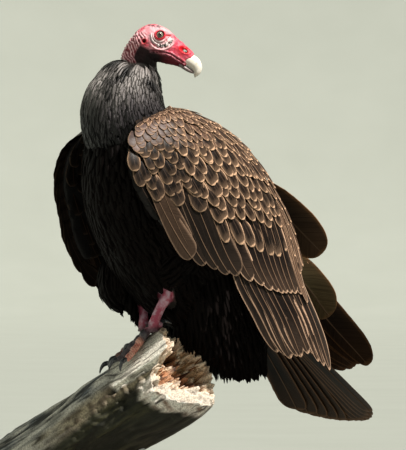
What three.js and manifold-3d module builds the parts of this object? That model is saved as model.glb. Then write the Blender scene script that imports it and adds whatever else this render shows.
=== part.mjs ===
// A turkey vulture, life size, perched on the broken end of a dead limb that a plain display stand holds up.
// Millimetres, +Z up. The bird faces -Y, its left side is +X, and the origin is the centre of the base's
// underside.
import * as THREE from "three";
import { mergeVertices } from "three/addons/utils/BufferGeometryUtils.js";
import Module from "manifold-3d";

const wasm = await Module();
wasm.setup();

// ---- driving dimensions ----
const GAP = 0.3; // clearance between neighbouring pieces
const BASE = { width: 440, depth: 380, thick: 22, corner: 24 };
const ROD_RADIUS = 7;
const LIMB = {
  radius: 61, // of the dead limb the bird stands on
  sawn: 338, // from under the feet down to the sawn end
  centre: new THREE.Vector3(25, 12, 259), // on the limb's axis, under the feet
  along: new THREE.Vector3(0.7, 0.47, 0.54).normalize(), // towards the broken end
};
const EYE_RADIUS = 6.2;
const TOE_RADIUS = 5.4;
const SHANK_RADIUS = 7.2;
const HEAD_PITCH = THREE.MathUtils.degToRad(27); // bill below the horizon
const HEAD_TURN = THREE.MathUtils.degToRad(57); // the bill's heading from +X towards +Y
const BROW = new THREE.Vector3(8, 12, 755); // midway between the eyes

// ---- curves ----

// A uniform Catmull-Rom curve through rows of numbers: point(t) gives the row at t from 0 to 1.
function spline(rows) {
  const count = rows.length - 1;
  const first = rows[0].map((value, k) => 2 * value - rows[1][k]);
  const last = rows[count].map((value, k) => 2 * value - rows[count - 1][k]);
  const padded = [first, ...rows, last];
  return (t) => {
    const place = Math.min(Math.max(t, 0), 1) * count;
    const i = Math.min(Math.floor(place), count - 1);
    const f = place - i;
    return rows[0].map((_, k) => {
      const [a, b, c, d] = [0, 1, 2, 3].map((n) => padded[i + n][k]);
      const bend = (3 * (b - c) + d - a) * f + 2 * a - 5 * b + 4 * c - d;
      return b + 0.5 * f * (c - a + f * bend);
    });
  };
}

const vector = (row) => new THREE.Vector3(row[0], row[1], row[2]);

// ---- meshes and solids ----

// Closes a stack of rings, each a loop of as many points, with a fan at both ends.
function closedRings(rings) {
  const sides = rings[0].length;
  const middle = (ring) =>
    ring
      .reduce((sum, p) => sum.add(p), new THREE.Vector3())
      .divideScalar(sides);
  const points = [
    middle(rings[0]),
    ...rings.flat(),
    middle(rings[rings.length - 1]),
  ];
  const at = (ring, side) => 1 + ring * sides + (side % sides);
  const faces = [];
  for (let s = 0; s < sides; s++) {
    faces.push(0, at(0, s + 1), at(0, s));
    for (let r = 0; r < rings.length - 1; r++) {
      faces.push(at(r, s), at(r, s + 1), at(r + 1, s + 1));
      faces.push(at(r, s), at(r + 1, s + 1), at(r + 1, s));
    }
    faces.push(
      at(rings.length - 1, s),
      at(rings.length - 1, s + 1),
      points.length - 1,
    );
  }
  return meshOf(points, faces);
}

function meshOf(points, faces) {
  const flat = new Float32Array(points.flatMap((p) => [p.x, p.y, p.z]));
  return new THREE.BufferGeometry()
    .setAttribute("position", new THREE.BufferAttribute(flat, 3))
    .setIndex(faces);
}

// A closed geometry as a manifold-3d solid, turned right side out if its faces point inwards.
function solid(geometry) {
  const bare = geometry.clone();
  bare.deleteAttribute("normal");
  bare.deleteAttribute("uv");
  const merged = mergeVertices(bare, 1e-3);
  const make = (triVerts) =>
    new wasm.Manifold(
      new wasm.Mesh({
        numProp: 3,
        vertProperties: merged.attributes.position.array,
        triVerts,
      }),
    );
  const made = make(new Uint32Array(merged.index.array));
  if (made.volume() > 0) return made;
  return make(new Uint32Array([...merged.index.array].reverse()));
}

// -1 at a row of rings' first ring, +1 at its last and 0 between, so that a grown solid is longer as well.
const endward = (ring, rings) => (ring === rings ? 1 : 0) - (ring === 0 ? 1 : 0);

// A tube through stations [x, y, z, half width, half depth]. Width runs along side, depth square to it and to
// the path.
function tube(stations, { sides, rings, side, grow = 0 }) {
  const path = spline(stations);
  const step = 1e-3;
  const made = [];
  for (let r = 0; r <= rings; r++) {
    const t = r / rings;
    const row = path(t);
    const ahead = vector(path(Math.min(t + step, 1)));
    const tangent = ahead
      .sub(vector(path(Math.max(t - step, 0))))
      .normalize();
    const across = side.clone().addScaledVector(tangent, -side.dot(tangent));
    across.normalize();
    const deep = tangent.clone().cross(across);
    const centre = vector(row).addScaledVector(tangent, grow * endward(r, rings));
    const ring = [];
    for (let s = 0; s < sides; s++) {
      const angle = (2 * Math.PI * s) / sides;
      ring.push(
        centre
          .clone()
          .addScaledVector(across, (row[3] + grow) * Math.cos(angle))
          .addScaledVector(deep, (row[4] + grow) * Math.sin(angle)),
      );
    }
    made.push(ring);
  }
  return solid(closedRings(made));
}

// A plate under an outer surface: surface(u, v) gives its points, outward(u, v) the way out, thick(u, v) the
// depth.
function plate(surface, outward, thick, { across, along, from = 0, to = 1 }) {
  const points = [];
  for (let layer = 0; layer < 2; layer++)
    for (let j = 0; j <= along; j++)
      for (let i = 0; i <= across; i++) {
        const u = i / across;
        const v = from + ((to - from) * j) / along;
        const depth = layer * thick(u, v);
        points.push(surface(u, v).addScaledVector(outward(u, v), -depth));
      }
  const row = across + 1;
  const under = row * (along + 1);
  const faces = [];
  const quad = (a, b, c, d) => faces.push(a, b, c, a, c, d);
  for (let j = 0; j < along; j++)
    for (let i = 0; i < across; i++) {
      const k = j * row + i;
      quad(k, k + 1, k + row + 1, k + row);
      quad(
        under + k,
        under + k + row,
        under + k + row + 1,
        under + k + 1,
      );
    }
  for (let i = 0; i < across; i++) {
    const k = along * row + i;
    quad(i + 1, i, under + i, under + i + 1);
    quad(k, k + 1, under + k + 1, under + k);
  }
  for (let j = 0; j < along; j++) {
    const k = j * row;
    const e = k + across;
    quad(k, k + row, under + k + row, under + k);
    quad(e + row, e, under + e, under + e + row);
  }
  return solid(meshOf(points, faces));
}

// ---- trunk and neck ----
const SIDEWAYS = new THREE.Vector3(1, 0, 0);

// Stations down the bird's middle plane: x, y, z, half width, half depth.
const TRUNK = [
  [0, -36, 640, 50, 44],
  [0, -26, 606, 80, 80],
  [0, -1, 556, 97, 109],
  [0, 38, 494, 104, 120],
  [0, 82, 428, 98, 114],
  [0, 118, 370, 78, 88],
  [0, 150, 316, 54, 54],
  [0, 178, 272, 24, 22],
];
const NECK = [
  [0, -34, 600, 66, 64],
  [1, -45, 644, 64, 64],
  [2.5, -38.5, 680, 53, 51],
  [3.5, -28, 704, 38, 35],
  [3, -19.5, 719, 23, 23],
  [2, -11, 731, 18, 18],
  [4, -3, 744, 17, 17],
];
const trunk = (grow) =>
  tube(TRUNK, { sides: 22, rings: 17, side: SIDEWAYS, grow });
const neck = (grow) =>
  tube(NECK, { sides: 18, rings: 12, side: SIDEWAYS, grow });

// ---- head: f runs forward from the eyes, g up, h to the bird's left of the head ----
const FORWARD = new THREE.Vector3(
  Math.cos(HEAD_TURN) * Math.cos(HEAD_PITCH),
  Math.sin(HEAD_TURN) * Math.cos(HEAD_PITCH),
  -Math.sin(HEAD_PITCH),
);
const LEFTWARD = new THREE.Vector3(0, 0, 1).cross(FORWARD).normalize();
const UPWARD = FORWARD.clone().cross(LEFTWARD);
const inHead = (f, g, h) =>
  BROW.clone()
    .addScaledVector(FORWARD, f)
    .addScaledVector(UPWARD, g)
    .addScaledVector(LEFTWARD, h);

// A loft along f from profile rows [f, top, bottom, half width].
function headLoft(profile, { sides, rings, grow = 0 }) {
  const path = spline(profile);
  const made = [];
  for (let r = 0; r <= rings; r++) {
    const [f, top, bottom, half] = path(r / rings);
    const ring = [];
    for (let s = 0; s < sides; s++) {
      const angle = (2 * Math.PI * s) / sides;
      const g = (top + bottom) / 2 + ((top - bottom) / 2 + grow) * Math.sin(angle);
      const reach = f + grow * endward(r, rings);
      ring.push(inHead(reach, g, (half + grow) * Math.cos(angle)));
    }
    made.push(ring);
  }
  return solid(closedRings(made));
}

const HEAD_PROFILE = [
  [-34, -14, -26, 5],
  [-30, -3, -36, 13],
  [-20, 8, -40, 18],
  [-6, 13, -39, 19.5],
  [10, 12.2, -37, 18],
  [26, 7.6, -33, 13.5],
  [40, 4, -29.4, 10.5],
  [50, -1.2, -28.4, 9],
];
const BILL_UPPER_PROFILE = [
  [50.3, -2.8, -19.8, 8.6],
  [57, -3.4, -20.6, 8.4],
  [65, -5.6, -22.4, 7.2],
  [71, -11.5, -27.5, 5.2],
  [74, -19, -31, 2.2],
];
const BILL_LOWER_PROFILE = [
  [50.3, -20.6, -27.6, 7.2],
  [58, -21.6, -28.2, 6.4],
  [66, -24, -27.6, 3.6],
];
const EYES = { left: 16.5, right: -16.5 };

// ---- wings: a leaf between a leading edge and a back edge, both run from the shoulder to the tip ----
const LEADING = {
  left: [
    [60, -14, 646],
    [100, -82, 626],
    [118, -111, 586],
    [124, -108, 540],
    [126, -70, 484],
    [120, -8, 425],
    [108, 92, 358],
    [98, 166, 292],
  ],
  right: [
    [-60, -18, 646],
    [-99, -74, 604],
    [-118, -92, 556],
    [-124, -84, 498],
    [-122, -65, 438],
    [-116, -14, 384],
    [-110, 145, 318],
    [-70, 348, 258],
  ],
};
const TRAILING = {
  left: [
    [60, -14, 646],
    [52, 61, 632],
    [48, 134, 594],
    [44, 192, 531],
    [44, 224, 470],
    [52, 241, 393],
    [66, 255, 328],
    [80, 266, 262],
  ],
  right: [
    [-60, -18, 646],
    [-44, 76, 628],
    [-24, 177, 578],
    [-12, 256, 520],
    [-8, 297, 446],
    [-12, 308, 404],
    [-20, 324, 352],
    [0, 385, 272],
  ],
};
// outward swell from the shoulder to the tip
const BULGE = { left: [10, 32, 42, 36, 17, 8], right: [10, 40, 60, 54, 24, 8] };
const WING_DEPTH = [30, 34, 26, 12, 6, 4]; // thickness, shoulder to tip
const SHIELD_END = 0.5; // where the coverts' shield gives way to the long feathers

function wing(side) {
  const leading = spline(LEADING[side]);
  const trailing = spline(TRAILING[side]);
  const bulge = spline(BULGE[side].map((x) => [x]));
  const depth = spline(WING_DEPTH.map((x) => [x]));
  const sign = side === "left" ? 1 : -1;
  const ridge = new THREE.Vector3(0.88 * sign, 0.1, 0.46).normalize();
  const surface = (u, v) =>
    vector(leading(v))
      .lerp(vector(trailing(v)), u)
      .addScaledVector(ridge, 4 * u * (1 - u) * bulge(v)[0]);
  const outward = () => ridge;
  const thick = (u, v) => depth(v)[0] * (0.3 + 2.4 * u * (1 - u));
  const patch = (from, to) =>
    plate(surface, outward, thick, { across: 8, along: 10, from, to });
  const split = 0.0008;
  return {
    shield: patch(0.04, SHIELD_END - split),
    flight: patch(SHIELD_END + split, 1),
  };
}

// ---- tail: a fan from the rump to a gently rounded end ----
const TAIL = {
  root: new THREE.Vector3(0, 140, 412),
  tip: new THREE.Vector3(-24, 366, 184),
  rootHalf: 34,
  tipHalf: 106,
  roof: 10, // how far the middle feathers stand above the outer ones
  round: 38, // how much shorter the outer feathers are
};

function tail() {
  const run = TAIL.tip.clone().sub(TAIL.root);
  const across = run.clone().cross(new THREE.Vector3(0, 0, 1)).normalize();
  const up = across.clone().cross(run).normalize();
  const surface = (u, v) => {
    const lateral = 2 * u - 1;
    const share = v * (1 - (TAIL.round / run.length()) * lateral ** 2);
    const half = TAIL.rootHalf + (TAIL.tipHalf - TAIL.rootHalf) * v;
    return TAIL.root
      .clone()
      .addScaledVector(run, share)
      .addScaledVector(across, half * lateral)
      .addScaledVector(up, -TAIL.roof * lateral ** 2);
  };
  const thick = (u, v) => 14 - 10 * v;
  return plate(surface, () => up, thick, { across: 10, along: 8 });
}

// ---- legs ----
const LEGS = {
  left: { hip: [44, 44, 456], knee: [50, 14, 414], hock: [39, 5, 384], ankle: [28, -12, 327] },
  right: { hip: [-44, 26, 440], knee: [-50, -4, 396], hock: [-33, 8, 366], ankle: [-26, 6, 327] },
};

function thigh({ hip, knee, hock }) {
  const stations = [
    [...hip, 46, 56],
    [...knee, 42, 48],
    [(knee[0] + hock[0]) / 2, (knee[1] + hock[1]) / 2, hock[2] + 6, 28, 32],
    [hock[0], hock[1] - 3, hock[2] - 14, 15, 17],
  ];
  return tube(stations, { sides: 14, rings: 8, side: SIDEWAYS });
}

function shank({ hock, ankle }, grow) {
  const r = SHANK_RADIUS;
  const stations = [
    [hock[0], hock[1] + 2, hock[2] + 10, r + 1.2, r + 1.2],
    [hock[0], hock[1], hock[2] - 8, r, r + 0.4],
    [(hock[0] + ankle[0]) / 2, (hock[1] + ankle[1]) / 2 + 1, (hock[2] + ankle[2]) / 2, r - 0.8, r],
    [...ankle, r + 0.6, r + 0.6],
  ];
  return tube(stations, { sides: 12, rings: 8, side: SIDEWAYS, grow });
}

// ---- the limb, and the toes that follow it ----
const TOP = new THREE.Vector3(0, 0, 1)
  .addScaledVector(LIMB.along, -LIMB.along.z)
  .normalize();
const NEAR = LIMB.along.clone().cross(TOP);

// A point at a distance from the limb's axis: turn is 0 on top and grows towards the bird's front.
const onLimb = (s, turn, radius) =>
  LIMB.centre
    .clone()
    .addScaledVector(LIMB.along, s)
    .addScaledVector(TOP, radius * Math.cos(turn))
    .addScaledVector(NEAR, radius * Math.sin(turn));

// The limb's radius is uneven: low swells that run along it, and a fuller underside towards the broken end.
const limbRadius = (s, turn) =>
  LIMB.radius *
    (1 +
      0.035 * Math.sin(3 * turn + s / 55) +
      0.025 * Math.sin(5 * turn - s / 32 + 1)) +
  18 * Math.exp(-(((s - 5) / 75) ** 2)) * ((1 - Math.cos(turn)) / 2) ** 2;

// How far the broken end reaches at each turn, as [turn, reach]: a flat splinter on the near top, a deep bite
// out of the near side below it, and a long thick lip underneath.
const BROKEN = [
  [-3.14, 36], [-2.6, 26], [-2.0, 34], [-1.57, 40], [-1.2, 33], [-0.9, 25], [-0.4, 27], [0, 32],
  [0.3, 35], [0.6, 39], [0.9, 44], [1.15, 43], [1.3, 18], [1.5, 8], [1.7, -2], [1.95, 4],
  [2.25, 18], [2.5, 32], [2.7, 45], [2.95, 45], [3.14, 36],
];
const brokenReach = (turn) => {
  const after = Math.max(1, BROKEN.findIndex(([place]) => place >= turn));
  const [[from, low], [to, high]] = [BROKEN[after - 1], BROKEN[after]];
  return low + ((high - low) * (turn - from)) / (to - from);
};

function limb(grow) {
  const sides = 30;
  const lengths = 12;
  const ringAt = (reach, share) => {
    const ring = [];
    for (let k = 0; k < sides; k++) {
      const turn = (2 * Math.PI * k) / sides;
      const wrapped = turn > 3.14 ? turn - 2 * Math.PI : turn;
      const s = reach(brokenReach(wrapped) + grow);
      ring.push(onLimb(s, turn, share * limbRadius(s, turn) + grow));
    }
    return ring;
  };
  const rings = [];
  for (let r = 0; r <= lengths; r++) {
    const t = r / lengths;
    rings.push(ringAt((end) => -LIMB.sawn + t * (end + LIMB.sawn), 1));
  }
  rings.push(ringAt((end) => end - 8, 0.8));
  rings.push(ringAt((end) => 0.5 * end - 14, 0.55));
  rings.push(ringAt(() => -26 + grow, 0.25));
  return solid(closedRings(rings));
}

// Each toe: its heading on the limb's surface from straight ahead, its length and its claw's.
const TOES = [
  { heading: { left: 0.2, right: 0.05 }, length: 66, claw: 19 },
  { heading: { left: 0.55, right: 0.42 }, length: 44, claw: 16 },
  { heading: { left: -0.1, right: -0.26 }, length: 58, claw: 17 },
  { heading: { left: 2.75, right: 2.75 }, length: 17, claw: 15 },
];
const QUICK = 2.6; // from the end of a toe's flesh to where its claw starts
const AHEAD = { s: -0.88, turn: 0.475 }; // where the feet point, unrolled on the limb

// Stations of a toe and of its claw, laid on the limb from below the ankle.
function toePath(ankle, heading, { length, claw }) {
  const from = new THREE.Vector3(...ankle).sub(LIMB.centre);
  const s0 = from.dot(LIMB.along);
  const turn0 = Math.atan2(from.dot(NEAR), from.dot(TOP));
  const cos = Math.cos(heading);
  const sin = Math.sin(heading);
  const ds = AHEAD.s * cos - AHEAD.turn * sin;
  const dturn = AHEAD.turn * cos + AHEAD.s * sin;
  const at = (run, lift) => {
    const s = s0 + ds * run;
    const turn = turn0 + (dturn * run) / LIMB.radius;
    return onLimb(s, turn, limbRadius(s, turn) + lift).toArray();
  };
  const r = TOE_RADIUS;
  const toe = [
    [...at(0, r + 3), r + 0.6, r + 0.6],
    [...at(length * 0.35, r + 1.6), r, r],
    [...at(length * 0.7, r + 1.4), r - 0.8, r - 0.8],
    [...at(length, r + 1.2), r - 1.2, r - 1.2],
  ];
  const nail = [
    [...at(length + QUICK, r + 1.2), 3.4, 3.6],
    [...at(length + claw * 0.35, r + 3.6), 2.8, 3.2],
    [...at(length + claw * 0.75, r + 1.2), 1.8, 2.1],
    [...at(length + claw, 1.6), 0.6, 0.6],
  ];
  return { toe, nail };
}

// ---- the display stand ----
function base() {
  const { width, depth, thick, corner } = BASE;
  const bevel = 4;
  const w = width / 2 - bevel;
  const d = depth / 2 - bevel;
  const r = corner - bevel;
  const outline = new THREE.Shape()
    .moveTo(-w + r, -d)
    .lineTo(w - r, -d)
    .absarc(w - r, -d + r, r, -Math.PI / 2, 0)
    .lineTo(w, d - r)
    .absarc(w - r, d - r, r, 0, Math.PI / 2)
    .lineTo(-w + r, d)
    .absarc(-w + r, d - r, r, Math.PI / 2, Math.PI)
    .lineTo(-w, -d + r)
    .absarc(-w + r, -d + r, r, Math.PI, Math.PI * 1.5);
  const slab = new THREE.ExtrudeGeometry(outline, {
    depth: thick - 2 * bevel,
    bevelThickness: bevel,
    bevelSize: bevel,
    bevelSegments: 1,
    curveSegments: 4,
  });
  return solid(slab.translate(0, 0, bevel));
}

// A rod stands on the base under the limb's axis and is cut to the limb's underside.
function rod(s) {
  const top = LIMB.centre.clone().addScaledVector(LIMB.along, s);
  const from = BASE.thick + GAP;
  const shaft = new THREE.CylinderGeometry(ROD_RADIUS, ROD_RADIUS, top.z - from, 20);
  shaft.rotateX(Math.PI / 2);
  shaft.translate(top.x, top.y, (top.z + from) / 2);
  return solid(shaft).subtract(limb(GAP));
}

// ---- assembly ----
const COLOURS = {
  plumage: ["#2a211c", 0.75],
  skin: ["#b4505a", 0.5],
  ivory: ["#e9e0cf", 0.35],
  iris: ["#8d948c", 0.1],
  leg: ["#b07a7c", 0.6],
  claw: ["#2c2a2a", 0.35],
  wood: ["#8b8073", 0.9],
  board: ["#3a2a20", 0.5],
  steel: ["#8d9094", 0.35],
};
const group = new THREE.Group();

function add(name, made, slot) {
  const mesh = made.getMesh();
  const stride = mesh.numProp;
  const points = new Float32Array(mesh.numVert * 3);
  for (let i = 0; i < mesh.numVert; i++)
    points.set(mesh.vertProperties.subarray(i * stride, i * stride + 3), i * 3);
  const geometry = new THREE.BufferGeometry()
    .setAttribute("position", new THREE.BufferAttribute(points, 3))
    .setIndex(new THREE.BufferAttribute(mesh.triVerts, 1));
  const [color, roughness] = COLOURS[slot];
  const metalness = slot === "steel" ? 0.9 : 0;
  const material = new THREE.MeshStandardMaterial({ color, roughness, metalness });
  const node = new THREE.Mesh(geometry, material);
  node.name = name;
  group.add(node);
}

const trunkGrown = trunk(GAP);
const neckGrown = neck(GAP);
const headGrown = headLoft(HEAD_PROFILE, { sides: 20, rings: 13, grow: GAP });
let head = headLoft(HEAD_PROFILE, { sides: 20, rings: 13 });
for (const [side, h] of Object.entries(EYES)) {
  const ball = (radius) => {
    const sphere = new THREE.SphereGeometry(radius, 12, 8);
    sphere.translate(...inHead(0, 0, h).toArray());
    return solid(sphere);
  };
  head = head.subtract(ball(EYE_RADIUS + GAP));
  add(`eye_${side}`, ball(EYE_RADIUS), "iris");
}
add("head", head, "skin");
add("bill_upper", headLoft(BILL_UPPER_PROFILE, { sides: 16, rings: 8 }), "ivory");
add("bill_lower", headLoft(BILL_LOWER_PROFILE, { sides: 14, rings: 5 }), "ivory");
add("neck", neck(0).subtract(trunkGrown).subtract(headGrown), "plumage");

add("trunk", trunk(0), "plumage");
add("tail", tail().subtract(trunkGrown), "plumage");

for (const side of ["left", "right"]) {
  const { shield, flight } = wing(side);
  const body = trunkGrown.add(neckGrown);
  add(`wing_${side}`, shield.subtract(body), "plumage");
  add(`wing_${side}_flight`, flight.subtract(body), "plumage");

  const leg = LEGS[side];
  const upper = thigh(leg).subtract(trunkGrown).subtract(shank(leg, GAP));
  add(`thigh_${side}`, upper, "plumage");

  let foot = null;
  TOES.forEach((toe, k) => {
    const { toe: path, nail } = toePath(leg.ankle, toe.heading[side], toe);
    const digit = tube(path, { sides: 8, rings: 6, side: TOP });
    foot = foot ? foot.add(digit) : digit;
    const claw = tube(nail, { sides: 6, rings: 5, side: TOP });
    add(`claw_${side}_${k + 1}`, claw, "claw");
  });
  const shin = shank(leg, 0).subtract(limb(GAP)).subtract(trunkGrown);
  add(`foot_${side}`, foot.subtract(shank(leg, GAP)).subtract(limb(GAP)), "leg");
  add(`shank_${side}`, shin, "leg");
}

add("perch_limb", limb(0), "wood");
add("stand_base", base(), "board");
add("stand_rod_high", rod(-48), "steel");
add("stand_rod_low", rod(-215), "steel");

export default group;
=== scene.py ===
"""Looks of a turkey vulture display model: a whole bird with its feathers laid one by one over a single
skin, gripping the rotten end of a dead limb, which two steel rods hold above a dark wooden base."""
import math

import bpy
import numpy as np
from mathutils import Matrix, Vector
from mathutils.bvhtree import BVHTree


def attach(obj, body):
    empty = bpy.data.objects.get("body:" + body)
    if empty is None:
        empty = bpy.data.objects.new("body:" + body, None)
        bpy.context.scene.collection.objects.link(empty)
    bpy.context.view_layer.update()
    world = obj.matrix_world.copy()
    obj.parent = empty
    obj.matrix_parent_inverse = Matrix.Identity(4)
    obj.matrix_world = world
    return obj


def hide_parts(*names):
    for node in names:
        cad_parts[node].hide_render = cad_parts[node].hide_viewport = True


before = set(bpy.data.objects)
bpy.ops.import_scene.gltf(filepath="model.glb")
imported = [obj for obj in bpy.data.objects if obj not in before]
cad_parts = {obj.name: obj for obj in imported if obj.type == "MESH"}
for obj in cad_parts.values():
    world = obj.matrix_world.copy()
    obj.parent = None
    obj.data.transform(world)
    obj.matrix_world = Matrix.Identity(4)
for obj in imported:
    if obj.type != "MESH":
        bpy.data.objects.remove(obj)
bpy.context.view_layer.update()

# ---- The flesh ----
# One skin runs over the bare red head, the neck, the body, the arms of the wings, the legs and the toes. It
# lies under the feathers by their depth, and is bare from the collar up and from the legs' fringes down.
MM = 0.001
COAT = 9.0  # depth of the body's feathers, in millimetres like every size here


def curve(rows, t):
    """Uniform Catmull-Rom curve through the rows: the slope at a row is half the step between its
    neighbours."""
    rows = np.asarray(rows, float)
    last = len(rows) - 1
    padded = np.vstack([2 * rows[0] - rows[1], rows, 2 * rows[-1] - rows[-2]])
    place = np.clip(np.asarray(t, float), 0, 1) * last
    i = np.minimum(place.astype(int), last - 1)
    f = (place - i)[..., None]
    a, b, c, d = (padded[i + n] for n in range(4))
    return b + 0.5 * f * (c - a + f * (2 * a - 5 * b + 4 * c - d + f * (3 * (b - c) + d - a)))


def unit(a):
    """Vectors over their lengths."""
    return a / np.maximum(np.linalg.norm(a, axis=-1, keepdims=True), 1e-9)


def turns(count):
    """Even angles once round."""
    return 2 * np.pi * np.arange(count) / count


def ramp(x, low, high):
    """0 below low, 1 above high, and the smooth cubic 3t^2 - 2t^3 between; falls where low is above
    high."""
    t = np.clip((x - low) / (high - low), 0, 1)
    return t * t * (3 - 2 * t)


def bell(x, middle, width):
    """A bell curve, exp(-((x - middle) / width)^2)."""
    return np.exp(-(((x - middle) / width) ** 2))


SCATTER = np.array([73856093, 19349663, 83492791])  # large odd numbers that mix a cell's places into a key


def noise(points, size, seed=0):
    """Smooth value noise from -1 to 1: scattered numbers on a lattice of the given size, blended by cubic
    weights."""
    p = points / size + 71.3 * (seed + 1)
    cell = np.floor(p).astype(np.int64)
    f = p - cell
    f = f * f * (3 - 2 * f)
    total = 0
    for corner in np.ndindex(2, 2, 2):
        key = (cell + corner) @ SCATTER
        key = (key ^ (key >> 13)) * 1274126177 & 0x7FFFFFFF
        weight = np.prod(np.where(corner, f, 1 - f), axis=-1)
        total = total + weight * ((key >> 8) % 4096 / 2047.5 - 1)
    return total


def round_body(stations, t, angle, grow=0.0):
    """Points on the surface through stations (x, y, z, half width, half depth): t runs along the curve
    through them and angle round it, with the width along X and the depth square to it and to the curve.
    grow adds to both halves."""
    row = curve(stations, t)
    ahead = curve(stations, np.minimum(t + 0.01, 1)) - curve(stations, np.maximum(t - 0.01, 0))
    tangent = unit(ahead[..., :3])
    across = unit(np.array([1.0, 0, 0]) - tangent[..., :1] * tangent)
    deep = np.cross(tangent, across)
    wide = (row[..., 3] + grow) * np.cos(angle)
    tall = (row[..., 4] + grow) * np.sin(angle)
    return row[..., :3] + across * wide[..., None] + deep * tall[..., None]


def tube(stations, rings, sides, grow=0.0):
    """Rings of that surface, from its first station to its last."""
    return round_body(stations, *np.broadcast_arrays(np.linspace(0, 1, rings)[:, None], turns(sides)), grow)


def shell(rings):
    """A closed stack of rings: quads between neighbours, and a fan to the middle of each end ring."""
    count, sides = rings.shape[:2]
    points = np.vstack([rings.reshape(-1, 3), rings[0].mean(0), rings[-1].mean(0)])
    r, s = (k.ravel() for k in np.meshgrid(np.arange(count - 1), np.arange(sides), indexing="ij"))
    here = r * sides + s
    beside = r * sides + (s + 1) % sides
    quads = np.stack([here, beside, beside + sides, here + sides], 1)
    k = np.arange(sides)
    n = (k + 1) % sides
    end = (count - 1) * sides
    low = np.stack([n, k, np.full(sides, count * sides)], 1)
    high = np.stack([end + k, end + n, np.full(sides, count * sides + 1)], 1)
    return points, quads, np.vstack([low, high])


def joined(shells):
    """Several shells' points and faces as one."""
    starts = np.cumsum([0] + [len(s[0]) for s in shells[:-1]])
    points = np.vstack([s[0] for s in shells])
    return points, *(np.vstack([s[k] + n for s, n in zip(shells, starts)]) for k in (1, 2))


def piece_from(name, points, *faces):
    """A smooth mesh object from points in millimetres and arrays of faces, each array of one face size."""
    faces = [f for f in faces if len(f)]
    mesh = bpy.data.meshes.new(name)
    mesh.vertices.add(len(points))
    mesh.vertices.foreach_set("co", (points * MM).astype(np.float32).ravel())
    corners = np.concatenate([f.ravel() for f in faces]).astype(np.int32)
    sizes = np.concatenate([np.full(len(f), f.shape[1]) for f in faces])
    mesh.loops.add(len(corners))
    mesh.loops.foreach_set("vertex_index", corners)
    mesh.polygons.add(len(sizes))
    mesh.polygons.foreach_set("loop_start", np.concatenate([[0], np.cumsum(sizes)[:-1]]).astype(np.int32))
    mesh.polygons.foreach_set("use_smooth", np.ones(len(sizes), bool))
    mesh.update(calc_edges=True)
    piece = bpy.data.objects.new(name, mesh)
    bpy.context.collection.objects.link(piece)
    return piece


def shape_of(piece):
    """A piece's points in millimetres, its quads, and its points' normals, with its modifiers applied."""
    made = bpy.data.meshes.new_from_object(piece.evaluated_get(bpy.context.evaluated_depsgraph_get()))
    points = np.empty(len(made.vertices) * 3)
    made.vertices.foreach_get("co", points)
    normals = np.empty(len(made.vertices) * 3, np.float32)
    made.vertices.foreach_get("normal", normals)
    corners = np.empty(len(made.loops), np.int32)
    made.loops.foreach_get("vertex_index", corners)
    bpy.data.meshes.remove(made)
    return points.reshape(-1, 3) / MM, corners.reshape(-1, 4), normals.reshape(-1, 3).astype(float)


def fused(shells, voxel, soften, cutter=None):
    """One closed surface of quads, a voxel across, round overlapping shells, with a cutter's hole through
    it; then smoothed as many times as soften."""
    rough = piece_from("rough", *joined([shell(rings) for rings in shells]))
    rough.modifiers.new("wrap", "REMESH").voxel_size = voxel * MM
    if cutter:
        cut = rough.modifiers.new("cut", "BOOLEAN")
        cut.operation, cut.solver, cut.object = "DIFFERENCE", "MANIFOLD", cutter
        rough.modifiers.new("wrap again", "REMESH").voxel_size = voxel * MM
    ease = rough.modifiers.new("soften", "SMOOTH")
    ease.iterations, ease.factor = soften, 0.5
    made = shape_of(rough)
    bpy.data.objects.remove(rough)
    return made


# The body: stations (x, y, z, half width, half depth) from the neck's root to the vent, and up the neck to
# the head.
TRUNK = [
    (0, -36, 640, 50, 44),
    (0, -26, 606, 80, 80),
    (0, -1, 556, 97, 109),
    (0, 38, 494, 104, 120),
    (0, 82, 428, 98, 114),
    (0, 118, 370, 78, 88),
    (0, 150, 316, 54, 54),
    (0, 178, 272, 24, 22),
]
NECK = [
    (0, -34, 600, 66, 64),
    (1, -45, 644, 64, 64),
    (2.5, -38.5, 680, 53, 51),
    (3.5, -28, 704, 38, 35),
    (3, -19.5, 719, 23, 23),
    (2, -11, 731, 18, 18),
    (4, -3, 744, 17, 17),
]

# The head's own axes: f forward from the eyes, g up, h to the bird's left.
PITCH = math.radians(27)
TURN = math.radians(57)
BROW = np.array([8.0, 12.0, 755.0])
FORWARD = np.array([math.cos(TURN) * math.cos(PITCH), math.sin(TURN) * math.cos(PITCH), -math.sin(PITCH)])
LEFTWARD = unit(np.cross([0, 0, 1], FORWARD))
HEAD_AXES = np.stack([FORWARD, np.cross(FORWARD, LEFTWARD), LEFTWARD])


def in_head(f, g, h):
    """Points of the head, from its own axes to the model's."""
    return BROW + np.stack(np.broadcast_arrays(f, g, h), -1) @ HEAD_AXES


def head_loft(profile, rings, sides, power=1.0):
    """Rings along f from a profile of rows (f, top, bottom, half width), as arrays f, g and h; a power
    under 1 squares the rings."""
    f, top, bottom, half = curve(profile, np.linspace(0, 1, rings)).T[:, :, None]
    angle = turns(sides)
    cos, sin = (np.sign(w) * np.abs(w) ** power for w in (np.cos(angle), np.sin(angle)))
    return np.broadcast_arrays(f, (top + bottom) / 2 + (top - bottom) / 2 * sin, half * cos)


HEAD = [
    (-34, -14, -26, 5),
    (-30, -3, -36, 13),
    (-20, 8, -40, 18),
    (-6, 13, -39, 19.5),
    (10, 12.2, -37, 18),
    (26, 7.6, -33, 13.5),
    (40, 4.0, -29.4, 10.5),
    (50.5, -1.2, -28.4, 9.2),
]

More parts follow.
